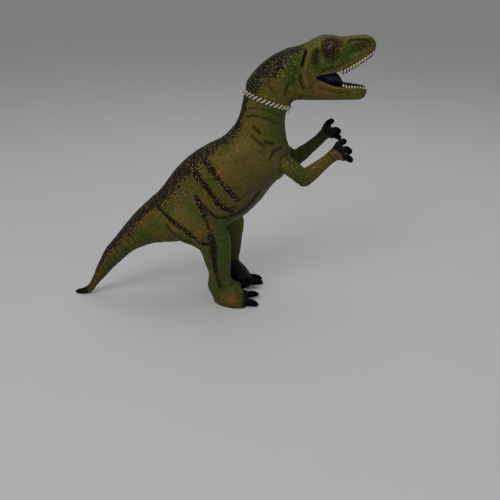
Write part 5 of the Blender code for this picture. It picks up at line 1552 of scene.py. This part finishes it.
def eye_finish(look, centre, side):
    """A dark pupil in a red iris with fine spokes, clear-coated; rings are distances from the eye's middle."""
    f = Finish("eye_glass_" + ("right" if side < 0 else "left"), Coat_Roughness=0.12, Specular_IOR_Level=0.35)
    place = f.place()
    pupil = Vector(centre) + Vector((0.0006, side * EYE_DIAMETER / 2, 0.0002))
    away = f.node('ShaderNodeVectorMath', {"operation": 'DISTANCE'}, {0: place, 1: tuple(pupil)}, output=1)
    spokes = f.noise(place, 0.0005, 3.0)
    iris = f.mix(f.between(away + spokes * 0.0007, 0.0018, 0.0036), look.iris_light, look.iris)
    hue = f.mix(0.6 - f.between(away, 0.0011, 0.0017) * 0.6, iris, look.black)
    hue = f.mix(f.between(away, 0.0040, 0.0046), hue, look.black)
    return f.use(Base_Color=hue, Roughness=0.42 + spokes * 0.08, Coat_Weight=0.02 + spokes * 0.1)


def tooth_finish(look):
    """Cream vinyl teeth with stained patches, on a black gum."""
    f = Finish("tooth_vinyl", Coat_Roughness=0.2)
    place = f.place()
    stain = f.noise(place, 0.0018, 3.0)
    grain = f.noise(place, 0.0004, 2.0)
    hue = f.mix(f.between(stain, 0.45, 0.70) * 0.5, look.tooth, look.tooth_stain)
    hue = f.mix(f.mask("gum") * (0.85 + stain * 0.2), hue, look.black)
    return f.use(Base_Color=hue, Roughness=0.34 + grain * 0.15, Coat_Weight=0.2 + grain * 0.1,
                 Normal=f.bump(grain, 0.0001, 0.5))


def tongue_finish(look):
    """Violet-blue paint over a soft bumpy tongue."""
    f = Finish("tongue_paint", Coat_Roughness=0.2, Specular_IOR_Level=0.25)
    place = f.place()
    buds = f.cells(place, 0.0007)
    cloud = f.noise(place, 0.0035, 3.0)
    hue = f.mix(f.between(cloud, 0.38, 0.66), look.tongue, look.tongue_light)
    hue = f.mix(f.mask("black"), hue, look.black)
    return f.use(Base_Color=hue, Roughness=0.38 + cloud * 0.15, Coat_Weight=0.08 + cloud * 0.08,
                 Normal=f.bump(buds, 0.00016, 0.6))


def fibre_finish(look):
    """White polyester fibre: soft tangled strands."""
    f = Finish("polyester_fibre", Sheen_Weight=0.5, Specular_IOR_Level=0.2)
    place = f.place()
    strand = f.node('ShaderNodeTexNoise', {"noise_dimensions": '3D'},
                    {"Vector": place, "Scale": 1 / 0.0012, "Detail": 6.0, "Distortion": 2.2})
    hue = f.mix(f.between(strand, 0.35, 0.65), look.fibre_shade, look.fibre)
    return f.use(Base_Color=hue, Roughness=0.90 + strand * 0.08, Normal=f.bump(strand, 0.0006, 0.9))


def floor_finish(look):
    """A pale matt board, faintly mottled."""
    f = Finish("pale_board", Specular_IOR_Level=0.3)
    place = f.place()
    cloud = f.noise(place, 0.09, 4.0)
    grain = f.noise(place, 0.0015, 2.0)
    hue = f.mix(f.between(cloud, 0.3, 0.75) * 0.25, look.floor, look.floor_shade)
    return f.use(Base_Color=hue, Roughness=0.50 + cloud * 0.12, Normal=f.bump(grain, 0.0001, 0.25))


# What a user may change
def colour(label, about, value):
    """A colour that a user may change."""
    return bpy.props.FloatVectorProperty(name=label, description=about, subtype='COLOR', size=3, min=0.0, max=1.0,
                                         default=value)


def number(label, about, value, low=0.0, **more):
    """A number that a user may change."""
    return bpy.props.FloatProperty(name=label, description=about, default=value, min=low, **more)


class SkinPaint(bpy.types.PropertyGroup):
    """Paint and vinyl colours of the skins, in linear light."""
    olive: colour("Olive", "Main colour of the vinyl", (0.094, 0.084, 0.015))
    head: colour("Head", "Yellow-green of the head", (0.104, 0.116, 0.014))
    ochre: colour("Ochre", "Yellower areas of the flank", (0.165, 0.118, 0.022))
    green: colour("Green", "Fresh green airbrush", (0.034, 0.096, 0.009))
    orange: colour("Orange", "Warm airbrushed patches", (0.240, 0.095, 0.020))
    belly: colour("Belly", "Grey-green underside", (0.062, 0.072, 0.026))
    pale: colour("Pale", "Tan ridges of the face", (0.230, 0.160, 0.055))
    rust: colour("Rust", "Reddish brown of the brow and ankles", (0.072, 0.028, 0.010))
    # The dot colours stand for dry-brushed scale tops and, in part, for painted glints.
    dots: colour("Dots", "Golden tops of the scales", (0.420, 0.330, 0.110))
    head_dots: colour("Head dots", "Yellow-green tops of the head's scales", (0.290, 0.360, 0.120))
    orange_dots: colour("Orange dots", "Tops of the scales beside the stripes", (0.480, 0.260, 0.070))
    # Painted shade: the dark colour laid into folds and between scales.
    shade: colour("Shade", "Dirt in folds and between scales", (0.020, 0.019, 0.005))
    net: colour("Net", "Dark net and stripes", (0.012, 0.008, 0.005))
    black: colour("Black", "Claws, tail tip and mouth lining", (0.003, 0.003, 0.003))
    claw_wear: colour("Claw wear", "Worn brown on the claws", (0.030, 0.015, 0.010))
    pebble: number("Body scale", "Width of the body's scales", 0.0015, 0.0005, max=0.01, unit='LENGTH')
    head_pebble: number("Head scale", "Width of the scales on head and arms", 0.0016, 0.0005, max=0.01, unit='LENGTH')


class FittingPaint(bpy.types.PropertyGroup):
    """Colours of the thread, eyes, teeth, tongue and stuffing, in linear light."""
    thread: colour("Thread", "Clean cotton", (0.760, 0.700, 0.590))
    thread_soil: colour("Thread soil", "Soiled cotton", (0.330, 0.280, 0.190))
    iris: colour("Iris", "Rim of the iris", (0.035, 0.004, 0.004))
    iris_light: colour("Iris light", "Iris round the pupil", (0.044, 0.005, 0.004))
    black: colour("Pupil", "Pupil and socket rim", (0.004, 0.003, 0.004))
    tooth: colour("Tooth", "Tip of the teeth", (0.600, 0.550, 0.390))
    tooth_stain: colour("Tooth stain", "Teeth near the gum", (0.240, 0.180, 0.075))
    tongue: colour("Tongue", "Deep violet", (0.012, 0.006, 0.040))
    tongue_light: colour("Tongue light", "Lighter violet", (0.058, 0.034, 0.160))
    fibre: colour("Fibre", "White stuffing", (0.800, 0.800, 0.780))
    fibre_shade: colour("Fibre shade", "Stuffing between strands", (0.520, 0.520, 0.500))


class StageLook(bpy.types.PropertyGroup):
    """Floor colours and light strengths."""
    floor: colour("Floor", "Pale board", (0.650, 0.652, 0.655))
    floor_shade: colour("Floor shade", "Mottle of the board", (0.600, 0.602, 0.605))
    key: number("Key light", "Strength of the big soft light", 6.9, unit='POWER')
    fill: number("Fill light", "Strength of the light from the right", 1.2, unit='POWER')
    sky: number("Surroundings", "Brightness of the room", 0.31)


# Operators
class DINO_OT_stage(bpy.types.Operator):
    """Makes the camera, the soft lights and the pale floor"""
    bl_idname = "dinosaur.stage"
    bl_label = "Stage"

    def execute(self, context):
        scene = context.scene
        look = scene.dino_stage
        lens = bpy.data.cameras.new("photo_camera")
        lens.sensor_width = SENSOR_WIDTH
        lens.lens = FOCAL_LENGTH
        camera = bpy.data.objects.new("photo_camera", lens)
        camera.location = CAMERA_PLACE
        camera.rotation_euler = (CAMERA_TILT, 0.0, 0.0)
        scene.collection.objects.link(camera)
        scene.camera = camera
        corners = np.array([(-1, -1, 0), (1, -1, 0), (1, 1, 0), (-1, 1, 0)]) * FLOOR_HALF
        floor = new_object("pale_floor", corners, [(0, 1, 2, 3)], smooth=False)
        wear(floor, floor_finish(look))
        for name, place, aim, size, source, share in LIGHTS:
            lamp = bpy.data.lights.new(name, 'AREA')
            lamp.shape = 'DISK'
            lamp.size = size
            lamp.energy = getattr(look, source) * share
            light = bpy.data.objects.new(name, lamp)
            light.location = place
            light.rotation_euler = (Vector(aim) - Vector(place)).to_track_quat('-Z', 'Y').to_euler()
            scene.collection.objects.link(light)
        world = bpy.data.worlds.new("pale_room")
        world.use_nodes = True
        backdrop = world.node_tree.nodes["Background"]
        backdrop.inputs["Color"].default_value = ROOM_COLOUR
        backdrop.inputs["Strength"].default_value = look.sky
        scene.world = world
        return {'FINISHED'}


class DINO_OT_body(bpy.types.Operator):
    """Makes the body skin with its legs, toes and tail, and the toe claws"""
    bl_idname = "dinosaur.body"
    bl_label = "Body skin"

    def execute(self, context):
        paint = context.scene.dino_skin
        body = make_body_solid()
        blend_solids(body, BODY_GRID)
        finish_body(body)
        wear(body, vinyl("body_vinyl", paint, paint.olive, paint.dots, paint.pebble))
        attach(body, "body")
        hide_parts("body_skin")
        claws = claw_finish(paint)
        for name, side in (("right_toe_claws", -1), ("left_toe_claws", 1)):
            thing = wear(make_toe_claws(name, side), claws)
            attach(thing, "body")
        return {'FINISHED'}


class DINO_OT_head(bpy.types.Operator):
    """Makes the head skin with both jaws"""
    bl_idname = "dinosaur.head"
    bl_label = "Head skin"

    def execute(self, context):
        paint = context.scene.dino_skin
        head = make_head_solid()
        finish_head(head)
        wear(head, vinyl("head_vinyl", paint, paint.head, paint.head_dots, paint.head_pebble))
        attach(head, "body")
        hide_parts("head_skin")
        return {'FINISHED'}


class DINO_OT_arms(bpy.types.Operator):
    """Makes both arms and the claws of their fingers"""
    bl_idname = "dinosaur.arms"
    bl_label = "Arms"

    def execute(self, context):
        paint = context.scene.dino_skin
        finish = vinyl("arm_vinyl", paint, paint.olive, paint.dots, paint.head_pebble)
        claws = bpy.data.materials["claw_enamel"]
        for name, side in (("right_arm", -1), ("left_arm", 1)):
            arm = make_arm_solid("painted_" + name, side)
            finish_arm(arm, side)
            wear(arm, finish)
            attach(arm, name)
            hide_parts(name)
            tips = wear(make_finger_claws(name + "_claws", side), claws)
            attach(tips, name)
        return {'FINISHED'}


class DINO_OT_stitching(bpy.types.Operator):
    """Makes the whip-stitched thread round the neck with its loose end"""
    bl_idname = "dinosaur.stitching"
    bl_label = "Neck stitching"

    def execute(self, context):
        thread = wear(make_stitching(), thread_finish(context.scene.dino_fittings))
        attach(thread, "body")
        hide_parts("neck_stitching")
        return {'FINISHED'}


class DINO_OT_eyes(bpy.types.Operator):
    """Makes both glossy eyes"""
    bl_idname = "dinosaur.eyes"
    bl_label = "Eyes"

    def execute(self, context):
        paint = context.scene.dino_fittings
        for name, side in (("right_eye", -1), ("left_eye", 1)):
            centre = eye_centre(side)
            eye = gather(name + "_ball", [globe(centre, EYE_DIAMETER / 2, (0.0, side, 0.0))])
            wear(eye, eye_finish(paint, centre, side))
            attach(eye, "body")
            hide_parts(name)
        return {'FINISHED'}


class DINO_OT_mouth(bpy.types.Operator):
    """Makes both rows of teeth and the tongue"""
    bl_idname = "dinosaur.mouth"
    bl_label = "Teeth and tongue"

    def execute(self, context):
        paint = context.scene.dino_fittings
        cream = tooth_finish(paint)
        for name, upper in (("upper_teeth", True), ("lower_teeth", False)):
            row = wear(make_teeth(name + "_row", upper), cream)
            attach(row, "body")
            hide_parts(name)
        tongue = wear(make_tongue(), tongue_finish(paint))
        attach(tongue, "body")
        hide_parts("tongue")
        return {'FINISHED'}


class DINO_OT_stuffing(bpy.types.Operator):
    """Makes the fibre that fills the skins"""
    bl_idname = "dinosaur.stuffing"
    bl_label = "Stuffing"

    def execute(self, context):
        fibre = wear(make_stuffing(), fibre_finish(context.scene.dino_fittings))
        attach(fibre, "body")
        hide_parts("fibre_filling")
        return {'FINISHED'}


STEPS = (DINO_OT_stage, DINO_OT_body, DINO_OT_head, DINO_OT_arms, DINO_OT_stitching, DINO_OT_eyes, DINO_OT_mouth,
         DINO_OT_stuffing)


class DINO_PT_panel(bpy.types.Panel):
    """Lists the figure's pieces and its sizes and colours"""
    bl_idname = "DINO_PT_panel"
    bl_label = "Toy dinosaur"
    bl_space_type = 'VIEW_3D'
    bl_region_type = 'UI'
    bl_category = "Dinosaur"

    def draw(self, context):
        for step in STEPS:
            self.layout.operator(step.bl_idname)
        for group in (context.scene.dino_skin, context.scene.dino_fittings, context.scene.dino_stage):
            for key in group.bl_rna.properties.keys():
                if key not in {"rna_type", "name"}:
                    self.layout.prop(group, key)


GROUPS = (SkinPaint, FittingPaint, StageLook)


def register():
    """Registers the classes and hangs their settings on the scene."""
    for item in GROUPS + STEPS + (DINO_PT_panel,):
        bpy.utils.register_class(item)
    bpy.types.Scene.dino_skin = bpy.props.PointerProperty(type=SkinPaint)
    bpy.types.Scene.dino_fittings = bpy.props.PointerProperty(type=FittingPaint)
    bpy.types.Scene.dino_stage = bpy.props.PointerProperty(type=StageLook)


def unregister():
    """Takes the settings and the classes away again."""
    del bpy.types.Scene.dino_stage
    del bpy.types.Scene.dino_fittings
    del bpy.types.Scene.dino_skin
    for item in (DINO_PT_panel,) + STEPS[::-1] + GROUPS[::-1]:
        bpy.utils.unregister_class(item)


def main():
    register()
    for step in STEPS:
        group, name = step.bl_idname.split(".")
        getattr(getattr(bpy.ops, group), name)()


if __name__ == "__main__":
    main()
